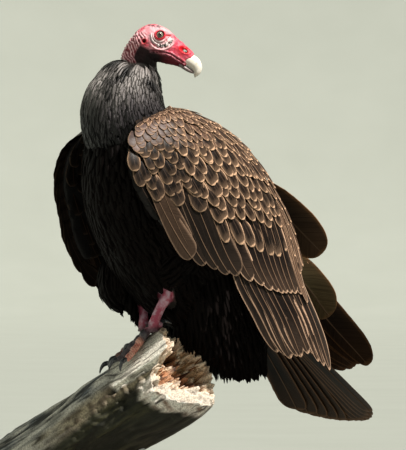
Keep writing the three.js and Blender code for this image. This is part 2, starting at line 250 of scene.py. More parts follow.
BARE_NECK = [
    (-10, -12, 19, 14, 0),
    (-22, -14.8, 20.7, 15.5, 0.5),
    (-34, -12.5, 24.5, 16.5, 4),
    (-46, -9, 28, 18.5, 9),
    (-58, -3, 31, 22, 13),
    (-68, 3, 32, 25, 15),
    (-80, 9, 33, 29, 16),
]  # height g, middle f, half length, half width, and the middle's place to the left

# The wings: each a leaf between a leading edge and a back edge, swollen outwards.
LEADING = {
    "left": [(60, -14, 646), (100, -82, 626), (118, -111, 586), (124, -108, 540),
             (126, -70, 484), (120, -8, 425), (108, 92, 358), (98, 166, 292)],
    "right": [(-60, -18, 646), (-99, -74, 604), (-118, -92, 556), (-124, -84, 498),
              (-122, -65, 438), (-116, -14, 384), (-110, 145, 318), (-70, 348, 258)],
}
TRAILING = {
    "left": [(60, -14, 646), (52, 61, 632), (48, 134, 594), (44, 192, 531),
             (44, 224, 470), (52, 241, 393), (66, 255, 328), (80, 266, 262)],
    "right": [(-60, -18, 646), (-44, 76, 628), (-24, 177, 578), (-12, 256, 520),
              (-8, 297, 446), (-12, 308, 404), (-20, 324, 352), (0, 385, 272)],
}
BULGE = {"left": [10, 32, 42, 36, 17, 8], "right": [10, 40, 60, 54, 24, 8]}
OUTWARD = {"left": unit(np.array([0.88, 0.1, 0.46])), "right": unit(np.array([-0.88, 0.1, 0.46]))}


def leaf(side, u, v, lift=0.0):
    """A wing's outer surface: u runs from the leading to the back edge and v from shoulder to tip, and
    between the edges it bulges outwards as the parabola 4u(1 - u); lift adds to the bulge."""
    u, v = np.broadcast_arrays(np.asarray(u, float), np.asarray(v, float))
    front, back = curve(LEADING[side], v), curve(TRAILING[side], v)
    swell = curve([[b] for b in BULGE[side]], v)[..., 0]
    rise = (4 * u * (1 - u) * swell + lift)[..., None]
    return front + (back - front) * u[..., None] + OUTWARD[side] * rise


def arm(side):
    """The wing's flesh: a slab under the coverts, as closed rings from the shoulder to past the wrist."""
    v = np.linspace(0.06, 0.6, 26)[:, None]
    u = np.linspace(0.05, 0.93, 16)[None]
    rings = np.concatenate([leaf(side, u, v, -6), leaf(side, u[:, ::-1], v, -16)], 1)
    return rings if side == "right" else rings[:, ::-1]


# The legs. Toes and claws follow the limb, whose axis and uneven radius come first.
LIMB_RADIUS = 61
LIMB_CENTRE = np.array([25.0, 12.0, 259.0])
LIMB_ALONG = unit(np.array([0.7, 0.47, 0.54]))
LIMB_TOP = unit(np.array([0, 0, 1]) - LIMB_ALONG[2] * LIMB_ALONG)
LIMB_NEAR = np.cross(LIMB_ALONG, LIMB_TOP)


def limb_radius(s, turn):
    """The limb's radius: swells that wind along it, and a fuller underside towards the broken end."""
    swell = 1 + 0.035 * np.sin(3 * turn + s / 55) + 0.025 * np.sin(5 * turn - s / 32 + 1)
    return LIMB_RADIUS * swell + 18 * bell(s, 5, 75) * ((1 - np.cos(turn)) / 2) ** 2


def on_limb(s, turn, radius):
    """Points s along the limb's axis, turned from its top towards the bird's front, at a radius."""
    s, turn, radius = (k[..., None] for k in np.broadcast_arrays(s, turn, radius))
    return LIMB_CENTRE + LIMB_ALONG * s + radius * (LIMB_TOP * np.cos(turn) + LIMB_NEAR * np.sin(turn))


LEGS = {
    "left": {"hip": (44, 44, 456), "knee": (50, 14, 426), "hock": (39, 5, 384), "ankle": (28, -12, 327),
             "fringe": 405},
    "right": {"hip": (-44, 26, 440), "knee": (-50, -4, 396), "hock": (-33, 8, 366), "ankle": (-26, 6, 327),
              "fringe": 364},
}
TOES = [
    {"heading": {"left": 0.2, "right": 0.05}, "length": 66, "claw": 19},
    {"heading": {"left": 0.55, "right": 0.42}, "length": 44, "claw": 16},
    {"heading": {"left": -0.1, "right": -0.26}, "length": 58, "claw": 17},
    {"heading": {"left": 2.75, "right": 2.75}, "length": 17, "claw": 15},
]
TOE_RADIUS = 5.4
KNUCKLE = 13  # from one knuckle of a toe to the next
SHANK_RADIUS = 7.2
DOWN_LIMB, ROUND_LIMB = 0.88, 0.475  # the heading 0 of a toe: mostly back down the limb, partly round it


def toe_line(side, toe, run, lift):
    """Points along a toe, laid on the limb from below the ankle: run is from the ankle, lift above the
    bark."""
    start = np.array(LEGS[side]["ankle"]) - LIMB_CENTRE
    cos, sin = math.cos(toe["heading"][side]), math.sin(toe["heading"][side])
    s = start @ LIMB_ALONG + (-DOWN_LIMB * cos - ROUND_LIMB * sin) * run
    turn = math.atan2(start @ LIMB_NEAR, start @ LIMB_TOP)
    turn = turn + (ROUND_LIMB * cos - DOWN_LIMB * sin) * run / LIMB_RADIUS
    return on_limb(s, turn, limb_radius(s, turn) + lift)


def digit(side, toe):
    """A toe's rings: a tube along its line that swells at each knuckle."""
    t = np.linspace(0, 1, 30)
    run = t * toe["length"]
    radius = (TOE_RADIUS + 0.6 - 1.8 * t) * (1 + 0.09 * np.cos(t * toe["length"] / KNUCKLE * 2 * np.pi))
    middle = toe_line(side, toe, run, radius + 3 * (1 - t) ** 3 - 0.4)
    return np.concatenate([middle, radius[:, None], radius[:, None]], 1)


def ringed(stations, sides):
    """Rings round stations given one by one, which aren't smoothed further."""
    middle, radius = stations[:, :3], stations[:, 3:]
    tangent = unit(np.gradient(middle, axis=0))
    across = unit(np.cross(tangent, np.array([0.3, 0.2, 1.0])))
    deep = np.cross(tangent, across)
    angle = turns(sides)
    wide, tall = radius[:, :1] * np.cos(angle), radius[:, 1:2] * np.sin(angle)
    return middle[:, None] + across[:, None] * wide[..., None] + deep[:, None] * tall[..., None]


def thigh_stations(leg, grow=0.0):
    """The thigh from the hip to just under its feathers' fringe."""
    hip, knee, hock = (np.array(leg[k]) for k in ("hip", "knee", "hock"))
    return [
        (*hip, 46 + grow, 56 + grow),
        (*knee, 42 + grow, 48 + grow),
        (*((knee + hock) / 2)[:2], leg["fringe"] + 17, 28 + grow, 32 + grow),
        (hock[0], hock[1] - 2, leg["fringe"] + 7, 13 + grow * 0.7, 14 + grow * 0.7),
    ]


def shank_stations(leg):
    """The bare shank from the hock to the ankle, a little waisted, ending in the ball of the foot."""
    hock, ankle = np.array(leg["hock"]), np.array(leg["ankle"])
    r = SHANK_RADIUS
    return [
        (hock[0] + 2, hock[1] + 2, leg["fringe"] + 15, r + 1.2, r + 1.2),
        (hock[0], hock[1], hock[2] - 4, r + 1.0, r + 1.4),
        (*((hock + ankle) / 2 + (0, 1, 6)), r - 1.0, r - 0.2),
        (*(ankle + (0, 0, 9)), r - 0.4, r + 0.2),
        (*(ankle + (0, 0, -2)), r + 1.4, r + 1.2),
    ]


inner_neck = NECK[:3] + [(3.5, -31, 700, 34, 31)]
flesh = [tube(TRUNK, 40, 40, -COAT), tube(inner_neck, 24, 32, -COAT)]
flesh += [arm(side) for side in LEADING]
flesh += [tube(thigh_stations(leg, -COAT), 14, 24) for leg in LEGS.values()]
body_points, body_quads = fused(flesh, voxel=5.0, soften=5)[:2]

foot_shapes = {}
for side, leg in LEGS.items():
    parts = [tube(shank_stations(leg), 26, 20)] + [ringed(digit(side, toe), 16) for toe in TOES]
    foot_shapes[side] = fused(parts, voxel=1.15, soften=3)

# Places on the side of the head, as f and g: the nostril's slot, the soft dip round it, and the ear.
NOSTRIL = (42.6, -3.6)
DIP = (41.3, -2.9)
EAR = (-16.3, -18.3)


def slot_rings():
    """The nostril's slot: three rings through the whole beak, each an egg 7.8 long and 3.6 high that slopes
    down."""
    around = turns(28)
    long, short = 3.9 * np.cos(around), 1.8 * np.sin(around) * (1 + 0.25 * np.cos(around))
    slope = math.radians(-14)
    f = NOSTRIL[0] + long * math.cos(slope) - short * math.sin(slope)
    g = NOSTRIL[1] + long * math.sin(slope) + short * math.cos(slope)
    return in_head(f, g, np.linspace(16, -16, 3)[:, None])


def cere_edge(g):
    """How far past the head's end the skin reaches over the bill at height g: further along its ridge."""
    return np.clip(6 + 0.8 * (g + 7), -6, 6.6)


f, g, h = head_loft(HEAD, 44, 44, 0.94)
brim = cere_edge(g) * ramp(g, -20.5, -17.5) + 2.2 * ramp(g, -18, -21)
bare_head = in_head(f + brim * ramp(f, 38, HEAD[-1][0]), g, h)
g, f, long, wide, leftward = curve(BARE_NECK, np.linspace(1, 0, 30)).T[:, :, None]
around = turns(40)
bare_neck = in_head(f + long * np.sin(around), g, leftward + wide * np.cos(around))
slot = piece_from("nostril", *shell(slot_rings()))
head_points, head_quads, head_normals = fused([bare_head, bare_neck], voxel=0.85, soften=10, cutter=slot)
bpy.data.objects.remove(slot)


# The head's folds, each a height over the smooth head.
def head_coordinates(points):
    """A point's f, g and distance from the head's middle plane."""
    f, g, h = ((points - BROW) @ HEAD_AXES.T).T
    return f, g, np.abs(h)


def mouth_line(f):
    """Height g of the slit of the mouth at f."""
    return np.interp(f, [-3, 12, 27, 44, 54], [-25.5, -20, -17.2, -19, -20.2])


def eye_polar(f, g):
    """Distance from the eye, the same in units of the lids' opening, and the angle under it in degrees."""
    x = f * math.cos(PITCH) + g * math.sin(PITCH)
    y = -f * math.sin(PITCH) + g * math.cos(PITCH)
    return np.hypot(f, g), np.hypot(x / 5.0, y / 4.2), np.degrees(np.arctan2(g, f))


def nape_edge(g):
    """How far forward the nape's wrinkles reach at height g; in front of them the throat is dark."""
    return np.interp(g, [-62, -52, -45, -36, -27, -16, -6], [-2, -13, -21, -22, -21, -18, -16])


def nape_wave(f, g, points):
    """The nape's wrinkles: a wave of 4.1 mm down the back of the neck, bent by noise and nicked every 6.5
    mm, and where it shows."""
    phase = (0.622 * f + 0.786 * g) / 4.1 * 2 * np.pi + 4.2 * noise(points, 8) + 2.1 * noise(points, 3.5)
    across = (0.786 * f - 0.622 * g) / 6.5 * 2 * np.pi + 3.6 * noise(points, 7, 2)
    where = ramp(f, nape_edge(g) + 3.5, nape_edge(g) - 2) * ramp(g, -4, -16)
    return np.cos(phase) - 0.6 * ramp(np.cos(across), 0.45, 1.0), where


def oval(f, g, middle, stretch):
    """Distance from a place on the side of the head, in an oval that is longer along f by the stretch."""
    return np.hypot((f - middle[0]) / stretch, g - middle[1])


def brow_groove(f, g, width):
    """Where the groove in front of the brow lies, which slants up as it runs forward."""
    return np.exp(-(((f - 11.5) / 4.5) ** 4) - ((g - 5.2 - 0.5 * (f - 11.5)) / width) ** 2)


def face_folds(f, g, reach, bearing):
    """Where the face's folds lie, from 0 to 1: the inner and outer folds that circle the eye, the stretch
    of bearings under it, and the patch of knobs in front of it."""
    inner = bell(reach, 13.2 + 0.02 * (bearing + 100), 1.3)
    inner = inner * ramp(bearing, -176, -155) * ramp(bearing, -60, -85)
    outer = bell(reach, 19 + 0.04 * (bearing + 106), 1.3)
    outer = outer * ramp(bearing, -115, -95) * ramp(bearing, 2, -10)
    under_eye = ramp(bearing, -178, -150) * ramp(bearing, -5, -35)
    knobbed = np.exp(-(((f - 15) / 4) ** 4) - ((g + 2) / 6.5) ** 4)
    return inner, outer, under_eye, knobbed


def wart_band(reach, bearing, width, back, front):
    """The band of warts between those folds: a bell of the given width in reach, faded at its back and its
    front, each a pair of bearings."""
    return bell(reach, 16.2 + 0.05 * (bearing + 50), width) * ramp(bearing, *back) * ramp(bearing, *front)


f, g, h = head_coordinates(head_points)
reach, lid, bearing = eye_polar(f, g)
lateral = ramp(h, 5, 9)
inner_fold, outer_fold, under_eye, knobbed = face_folds(f, g, reach, bearing)
warty = wart_band(reach, bearing, 2.6, (-86, -70), (16, -4))
pit = ramp(noise(head_points, 1.25, 6), -0.12, 0.12) * warty
knobs = (np.abs(noise(head_points, 2.6, 3)) ** 0.6 - 0.25) * knobbed
wave, napeness = nape_wave(f, g, head_points)
slit = g - mouth_line(f)
mouthed = ramp(f, -5, 0)
ear = oval(f, g, EAR, 0.8)
eye_folds = (
    2.6 * bell(lid, 1.3, 0.24)  # the rim of the lids
    + 1.3 * np.exp(-((reach / 10) ** 4))  # the swell they stand on
    - 0.5 * bell(lid, 1.75, 0.2)
    + 1.3 * bell(reach, 9.6, 0.8) * under_eye
    - 0.9 * bell(reach, 11.3, 0.6) * under_eye
    + 1.4 * inner_fold
    + 1.5 * warty
    - 2.6 * pit
    + 1.4 * outer_fold
)
height = (
    eye_folds
    + 1.8 * knobs
    + 1.3 * np.exp(-(((f - 2) / 11) ** 2) - ((g - 9.5) / 2.6) ** 2)  # the brow
    - 1.5 * brow_groove(f, g, 1.3)
    - 3.6 * np.exp(-((ear / 2.6) ** 4))  # the ear's hole and its rim
    + 0.9 * bell(ear, 4.6, 1.2)
    + 1.0 * np.exp(-(((f + 13) / 4.5) ** 2) - ((g + 25) / 1.6) ** 2)  # a fold under the ear
    - 1.3 * bell(slit, 0, 0.8) * mouthed  # the mouth's slit and its lips
    + 0.8 * bell(np.abs(slit), 2.3, 1.0) * mouthed
    + 0.7 * bell(oval(f, g, DIP, 1.7), 5.0, 1.2)  # the dip round the nostril, with a raised rim
    - 2.4 * np.exp(-((oval(f, g, DIP, 1.8) / 3.1) ** 4))
) * lateral
height += (0.75 + 0.5 * noise(head_points, 5, 7)) * (np.abs(wave) ** 0.7 * np.sign(wave)) * napeness
height += 0.32 * noise(head_points, 2.6, 1) + 0.45 * noise(head_points, 6.5, 2)
height -= 0.5 * np.abs(noise(head_points, 3.6, 5)) * ramp(g, 2, -6)
head_points = head_points + head_normals * height[:, None]
socket = 8.5 * ramp(lid, 1.08, 0.9) * lateral
head_points -= LEFTWARD * (np.sign((head_points - BROW) @ LEFTWARD) * socket)[:, None]

# Ringed scutes along the front of the shanks and over the toes.
SCUTE = {"shank": 3.4, "toe": 3.0}  # the length of one scute
BALL = (0, 0, 6)  # how far the ball of the foot lies under the ankle


def toe_scutes(points, ankle):
    """A wave over a foot that falls to 0 at each groove between its scutes, which ring the ball of the
    foot."""
    return np.abs(np.sin(np.linalg.norm(points - ankle + BALL, axis=1) / SCUTE["toe"] * np.pi))


for side, (points, quads, normals) in foot_shapes.items():
    ankle = np.array(LEGS[side]["ankle"])
    above = points[:, 2] - ankle[2]
    shank_wave = np.abs(np.sin(above / SCUTE["shank"] * np.pi + 0.8 * noise(points, 6))) ** 0.6
    outward = ramp(normals @ unit(np.array([0.3, -1.0, 0.2])), 0.0, 0.6)
    on_top = ramp(normals @ LIMB_TOP, 0.1, 0.6)
    shin = ramp(above, 4, 12)
    bump = 0.55 * shank_wave * outward * shin + 0.7 * toe_scutes(points, ankle) ** 0.5 * on_top * (1 - shin)
    bump += 0.25 * noise(points, 2.2, 8)
    foot_shapes[side] = (points + normals * bump[:, None], quads, normals)

skin = piece_from("skin", body_points, body_quads)
for points, quads in [(head_points, head_quads)] + [shape[:2] for shape in foot_shapes.values()]:
    graft = piece_from("graft", points, quads)
    union = skin.modifiers.new("graft", "BOOLEAN")
    union.operation, union.solver, union.object = "UNION", "MANIFOLD", graft
    made = bpy.data.meshes.new_from_object(skin.evaluated_get(bpy.context.evaluated_depsgraph_get()))
    skin.modifiers.clear()
    skin.data = made
    bpy.data.objects.remove(graft)


def paint(r, g, b):
    """A colour given in 0 to 255 as a display shows it, in linear light."""
    c = np.array([r, g, b]) / 255
    return np.where(c < 0.04045, c / 12.92, ((c + 0.055) / 1.055) ** 2.4)


def washed(base, layer, mask):
    """A layer of colour over the base, as thick as the mask."""
    return base + (layer - base) * np.clip(mask, 0, 1)[..., None]


def layered(base, *layers):
    """Layers of colour over the base, one after another, each a colour in 0 to 255 and its mask."""
    for shade, mask in layers:
        base = washed(base, paint(*shade), mask)
    return base


def dye(piece, colours, name="dye"):
    """Writes one colour for each point of a piece."""
    rows = np.column_stack([np.clip(colours, 0, 1), np.ones(len(colours))])
    piece.data.color_attributes.new(name, "FLOAT_COLOR", "POINT").data.foreach_set("color", rows.ravel())


def points_of(piece):
    """A piece's own points in millimetres."""
    flat = np.empty(len(piece.data.vertices) * 3)
    piece.data.vertices.foreach_get("co", flat)
    return flat.reshape(-1, 3) / MM


def body_colour(points):
    """The bird's dark ground colour, in the skin under the feathers and in the feathers: a black ruff and a
    brown-black body, with a painted sheen of pale grey in patches over the top of the ruff."""
    z = points[:, 2]
    patchy = noise(points, 24, 12) + 0.6 * noise(points, 8, 13)
    ground = layered(
        paint(12, 8, 7),
        ((13, 12, 13), ramp(z, 596, 660)),
        # Painted sheen: these pale grey patches, lightest highest up, stand in for the lamp's gloss on the
        # ruff's top.
        ((78, 74, 76), ramp(patchy, -0.1, 0.6) * ramp(z, 625, 705)),
        ((150, 144, 141), ramp(patchy, -0.9, 0.2) * ramp(z, 672, 716) * 0.9),
    )
    return ground * (1 + 0.22 * noise(points, 14, 11))[:, None]


def collar(f):
    """The height g at which the bare neck goes into the ruff."""
    return np.interp(f, [-37, -20, -3, 8, 21], [-56, -56, -49, -48, -42.5])


def head_colour(points):
    """The bare head's colours: rose and pink washed over each other, pale where it folds, red at the lids and
    the nostril, dark red under the jaw, and with dark bristles on the crown. Light and shade are painted in
    too: highlights on the crown, the nape's wrinkles and the lips, and shade under the jaw, on the throat, in
    the nape's grooves, round the eye, in the warts' pits and in the ear's hole."""
    f, g, h = head_coordinates(points)
    reach, lid, bearing = eye_polar(f, g)
    lateral = ramp(h, 5, 9)
    coarse, fine = noise(points, 6, 21), noise(points, 1.9, 22)
    slit = g - mouth_line(f)
    colour = layered(
        paint(204, 80, 98),
        ((236, 160, 170), 0.5 + 0.7 * coarse + 0.4 * fine),
        # Painted highlight: the crown and brow are washed paler pink where the lamp from above lights them.
        ((226, 182, 186), ramp(g, 3, 9) * ramp(f, 19, 10) * ramp(f, -14, -6) * (0.75 + 0.5 * coarse)),
        ((206, 56, 84), ramp(f, 12, 24) * (0.8 + 0.7 * coarse - 0.2 * ramp(g, -12, 2))),
    )

    # Under the jaw: its own dark red skin, darkened towards black further back as painted shade.
    jaw = ramp(slit, 0.2, -3) * ramp(f, -8, 0) * ramp(f, 62, 56)
    dark_red_and_shade = layered(paint(132, 20, 42), ((56, 8, 18), ramp(f, 34, 20) + 0.4 * coarse))
    colour = washed(colour, dark_red_and_shade, 0.97 * jaw)
    # Painted shade: the throat under the head is made near black.
    throat_shade = ramp(g, -23, -28) * ramp(f, nape_edge(g) - 1, nape_edge(g) + 3) * ramp(f, 33, 16)
    wave, napeness = nape_wave(f, g, points)
    colour = layered(
        colour,
        ((20, 7, 10), 0.98 * throat_shade),
        ((150, 40, 54), ramp(f, -3, -12) * ramp(g, -14, -22) * (1 - throat_shade) * 0.5),
        # Painted highlight and shade on the nape's wrinkles over its pink skin: near white on their ridges,
        # dark red in their grooves.
        ((250, 208, 212), napeness * ramp(wave, -0.2, 0.6) * (1 + 0.5 * fine)),
        ((116, 34, 48), napeness * ramp(wave, 0.0, -0.6) * 0.85),
    )

    inner_fold, outer_fold, under_eye, knobbed = face_folds(f, g, reach, bearing)
    ring = np.exp(-((reach / 15) ** 4)) * lateral * (1 - 0.6 * ramp(f, 6, 12))
    # Painted shade: darker in the groove under the eye and in a band below and behind the eye.
    under_eye_groove_shade = bell(reach, 11.5 + 0.012 * (bearing + 100), 0.9) * under_eye
    shade = bell(reach, 14.6, 2.2) * ramp(bearing, -170, -150) * ramp(bearing, -80, -110)
    warty = wart_band(reach, bearing, 2.9, (-90, -72), (20, -4))
    # Painted shade: the pits among the warts are near black.
    pit_shade = ramp(noise(points, 1.25, 6), -0.25, -0.05)
    folds = np.maximum(outer_fold * 0.6, inner_fold * 0.9)
    white = np.maximum(folds, np.maximum(warty * 1.1, bell(reach, 9.6, 0.9) * under_eye))
    knobs = np.abs(noise(points, 2.6, 3))
    knobbed = knobbed * lateral
    colour = layered(
        colour,
        ((210, 170, 176), ring * (0.65 + 0.4 * coarse)),
        ((96, 62, 70), under_eye_groove_shade * lateral * 0.85),
        ((122, 96, 104), shade * lateral * 0.9),
        ((250, 244, 242), white * lateral),
        ((24, 10, 12), ramp(warty, 0.25, 0.7) * pit_shade * lateral),
        ((250, 242, 238), knobbed * ramp(knobs, 0.16, 0.32) * 0.85),
        ((130, 26, 40), knobbed * ramp(knobs, 0.16, 0.08) * 0.95),
        ((168, 8, 28), brow_groove(f, g, 1.7) * lateral * 1.2),
        ((222, 30, 52), bell(lid, 1.36, 0.42) * lateral * 1.15),
        ((110, 12, 20), ramp(lid, 1.06, 0.96) * lateral),
    )

    muzzle_line = bell(g + 8.5 + 0.35 * (f - 34), 0, 1.7) * ramp(f, 24, 30) * ramp(f, 46, 40)
    lips = bell(np.abs(slit), 2.4, 1.5) * ramp(f, -4, 2) * ramp(f, 56, 50)
    cheek = ramp(f, -5, -11) * ramp(f, -30, -22) * ramp(g, -20, -13) * ramp(g, 8, 1)
    ear = oval(f, g, EAR, 0.8)
    cere = cere_edge(g) + HEAD[-1][0]
    freckles = ramp(noise(points, 1.6, 31), 0.45, 0.75) * ramp(noise(points, 9, 32), -0.2, 0.4)
    over_crown = g - np.interp(f, [-30, -20, -6, 10], [-3, 8, 13, 12.2])
    bristles = ramp(over_crown, -5.5, -2) * ramp(f, 1, -5) * ramp(f, -30, -22)
    bristles *= ramp(noise(points * (1, 1, 0.4), 1.7, 33) + 0.4 * coarse, -0.1, 0.4)
    return layered(
        colour,
        ((214, 6, 30), ramp(oval(f, g, DIP, 1.75), 6.2, 4.6) * ramp(h, 0.5, 1)),
        ((120, 2, 12), ramp(oval(f, g, NOSTRIL, 1.8), 2.9, 1.9)),
        ((214, 58, 70), muzzle_line),
        # The lips' own pink, made brighter as a painted highlight along their folds.
        ((240, 156, 170), lips * ramp(fine, -0.5, 0.3) * lateral),
        ((40, 5, 12), bell(slit, 0, 1.0) * ramp(f, -5, 0) * ramp(f, 53, 49)),
        ((240, 190, 196), cheek * (0.45 + 0.5 * coarse) * lateral),
        ((178, 40, 48), bell(ear, 3.2, 1.9) * lateral),
        # Painted shade: the ear's hole is dark inside its red rim.
        ((62, 6, 12), ramp(ear, 3.2, 2.2) * lateral),
        ((206, 60, 76), bell(f - cere, -0.6, 1.3) * ramp(g, -20, -18) * 0.8),
        # The underside of the face by the lower bill: its own dark red, darkened as painted shade under the
        # jaw.
        ((96, 22, 34), ramp(g, -19.5, -22) * ramp(f, 12, 30) * 0.8),
        ((96, 44, 44), freckles * 0.5 * ramp(g, 6, 10) * ramp(f, 2, -6)),
        ((50, 34, 40), bristles * 0.85),
    )


skin_points = points_of(skin)
f, g, h = head_coordinates(skin_points)
feathered = ramp(g, collar(f) + 3, collar(f) - 1)
colour = washed(head_colour(skin_points), body_colour(skin_points), feathered)


def leg_colours(side, points):
    """One leg's colours and their mask: a rose shank mottled lilac, slate toes with a dark groove at each
    scute, and one toe, the third, pinkish buff."""
    leg = LEGS[side]
    ankle, hock = np.array(leg["ankle"]), np.array(leg["hock"])
    lines = [toe_line(side, toe, np.linspace(0, toe["length"] + 4, 12), 4) for toe in TOES]
    off_toe = np.stack([np.linalg.norm(points[:, None] - line, axis=2).min(1) for line in lines])
    t = np.clip((points - ankle) @ (hock - ankle) / ((hock - ankle) @ (hock - ankle)), 0, 1)
    off_shank = np.linalg.norm(points - ankle - t[:, None] * (hock - ankle), axis=1)
    above = points[:, 2] - ankle[2]
    over_fringe = points[:, 2] - leg["fringe"]
    on_leg = ramp(off_shank, 12, 10.5) * (above > -4) * ramp(over_fringe, 4, 1)
    on_leg = np.maximum(on_leg, (off_toe.min(0) < 9.5) * (above < 12))

    mottle = noise(points, 5, 41) + 0.5 * noise(points, 1.8, 42)
    out = np.linalg.norm(points - ankle, axis=1)
    buff_toe = (off_toe.argmin(0) == 2) * (1.0 if side == "left" else 0.3) * ramp(out, 20, 27)
    shank = layered(paint(172, 74, 98), ((200, 168, 184), 0.35 + 0.9 * mottle))
    shank = layered(shank, ((92, 70, 78), ramp(above, 12, -2)))
    slate = layered(paint(58, 58, 66), ((96, 88, 92), 0.3 + 0.8 * mottle))
    buff = layered(paint(228, 172, 152), ((190, 110, 94), 0.3 + 0.9 * mottle))
    shades = washed(shank, washed(slate, buff, buff_toe), ramp(out, 9, 18) * ramp(above, 6, -2))
    groove = ramp(toe_scutes(points, ankle), 0.35, 0.05) * ramp(above, 6, 0)
    return layered(shades, ((60, 30, 32), groove * 0.8)), on_leg


for side in LEGS:
    colour = washed(colour, *leg_colours(side, skin_points))
dye(skin, colour)


def node(tree, kind, inputs=None, **settings):
    """Adds a shader node, with its settings and with each input a value or another node's output."""
    made = tree.nodes.new("ShaderNode" + kind)
    for key, value in settings.items():
        setattr(made, key, value)
    for key, value in (inputs or {}).items():
        if isinstance(value, bpy.types.NodeSocket):
            tree.links.new(value, made.inputs[key])
        else:
            made.inputs[key].default_value = value
    return made


def finish(name, surface):
    """A material whose surface is made by a function of its node tree, which returns the shader's
    inputs."""
    material = bpy.data.materials.new(name)
    material.use_nodes = True
    tree = material.node_tree
    tree.nodes.clear()
    shader = node(tree, "BsdfPrincipled", surface(tree))
    node(tree, "OutputMaterial", {"Surface": shader.outputs["BSDF"]})
    return material


def painted(tree, name="dye", output="Color"):
    """A piece's own colours, or another of the values its points hold."""
    return node(tree, "Attribute", attribute_name=name).outputs[output]


def reckoned(tree, operation, first, second, **settings):
    """The result of a sum on two values."""
    return node(tree, "Math", {0: first, 1: second}, operation=operation, **settings).outputs[0]


def relief(tree, height, strength, distance, **settings):
    """Bumps as high as a distance in metres where the height is 1."""
    inputs = {"Height": height, "Strength": strength, "Distance": distance}
    return node(tree, "Bump", inputs, **settings).outputs["Normal"]


def grain(tree, scale, detail=4.0, stretch=(1, 1, 1), roughness=0.55):
    """Noise over a piece's own coordinates, as many to the metre as the scale, stretched along its axes."""
    place = node(tree, "TexCoord").outputs["Object"]
    turned = node(tree, "Mapping", {"Vector": place, "Scale": stretch}).outputs["Vector"]
    inputs = {"Vector": turned, "Scale": scale, "Detail": detail, "Roughness": roughness}
    return node(tree, "TexNoise", inputs).outputs["Fac"]


def ranged(tree, value, low, high, out_low=0.0, out_high=1.0):
    """A value's range low to high mapped to another, and held at its ends."""
    inputs = {0: value, 1: low, 2: high, 3: out_low, 4: out_high}
    return node(tree, "MapRange", inputs).outputs[0]


def blended(tree, share, first, second, mode="MIX"):
    """Two colours mixed by a share."""
    made = node(tree, "Mix", {0: share}, data_type="RGBA", blend_type=mode)
    for index, colour in ((6, first), (7, second)):
        if isinstance(colour, bpy.types.NodeSocket):
            tree.links.new(colour, made.inputs[index])
        else:
            made.inputs[index].default_value = (*colour, 1) if len(colour) == 3 else colour
    return made.outputs[2]


def bare_skin(tree):
    """Moist folded skin: its own colours, broken by pores and a fine net of creases."""
    colour = painted(tree)
    pores = grain(tree, 900, 3)
    creases = grain(tree, 320, 5)
    mottled = blended(tree, ranged(tree, pores, 0.35, 0.7), colour, (0.86, 0.78, 0.78), "MULTIPLY")
    light = node(tree, "RGBToBW", {"Color": colour}).outputs["Val"]
    dull_where_dark = ranged(tree, light, 0.0, 0.08, 0.3, 0.0)
    return {
        "Base Color": mottled,
        "Roughness": reckoned(tree, "ADD", dull_where_dark, ranged(tree, creases, 0.3, 0.7, 0.38, 0.6)),
        "Normal": relief(tree, reckoned(tree, "ADD", pores, creases), 0.55, 0.0007),
        "Specular IOR Level": 0.35,
        "Coat Weight": 0.06,
        "Coat Roughness": 0.35,
    }


skin.data.materials.clear()
skin.data.materials.append(finish("bare skin", bare_skin))
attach(skin, "root")
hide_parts("head", "neck", "trunk", "thigh_left", "thigh_right", "shank_left", "shank_right")
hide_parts("foot_left", "foot_right", "wing_left", "wing_right")

# ---- The eyes ----
# Two glass eyes set in the sockets, inside the rims of the red lids: a dark pupil in a grey-brown iris,
# under a wet clear front.
EYE_SIDE = 16.5
EYE_RADIUS = 6.2


def eyeball(side):
    """A sphere in rings round its own axis, with its front swelling by a small clear bulge, and each ring
    point's angle from the axis."""
    polar = np.linspace(0.02, np.pi - 0.02, 34)[:, None]
    around = turns(40)
    swell = EYE_RADIUS + 0.45 * np.exp(-((polar / 0.5) ** 2))
    f, g = swell * np.sin(polar) * np.cos(around), swell * np.sin(polar) * np.sin(around)
    rings = in_head(f, g, side * (EYE_SIDE + swell * np.cos(polar)))
    return shell(rings if side > 0 else rings[:, ::-1]), np.repeat(polar, len(around), 1)


def glass_eye(tree):
    """Iris and pupil in their own colours, broken by fine specks, under a wet clear coat."""
    streaks = grain(tree, 2600, 2)
    share = ranged(tree, streaks, 0.3, 0.7, 0.0, 0.5)
    return {
        "Base Color": blended(tree, share, painted(tree), (0.5, 0.45, 0.4), "MULTIPLY"),
        "Roughness": ranged(tree, streaks, 0.2, 0.8, 0.1, 0.2),
        "Coat Weight": 1.0,
        "Coat Roughness": 0.02,
        "Coat IOR": 1.45,
    }


glass = finish("glass eye", glass_eye)
for side, name in ((1, "left"), (-1, "right")):
    (points, quads, ends), polar = eyeball(side)
    eye = piece_from("eyeball_" + name, points, quads, ends)
    angle = np.concatenate([polar.ravel(), [0, np.pi]])
    rings = (((140, 142, 122), 0.86, 0.8), ((92, 78, 60), 0.62, 0.5), ((3, 3, 4), 0.36, 0.32))
    dye(eye, layered(paint(38, 20, 18), *((shade, ramp(angle, low, high)) for shade, low, high in rings)))
    eye.data.materials.append(glass)
    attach(eye, "root")
    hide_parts("eye_" + name)

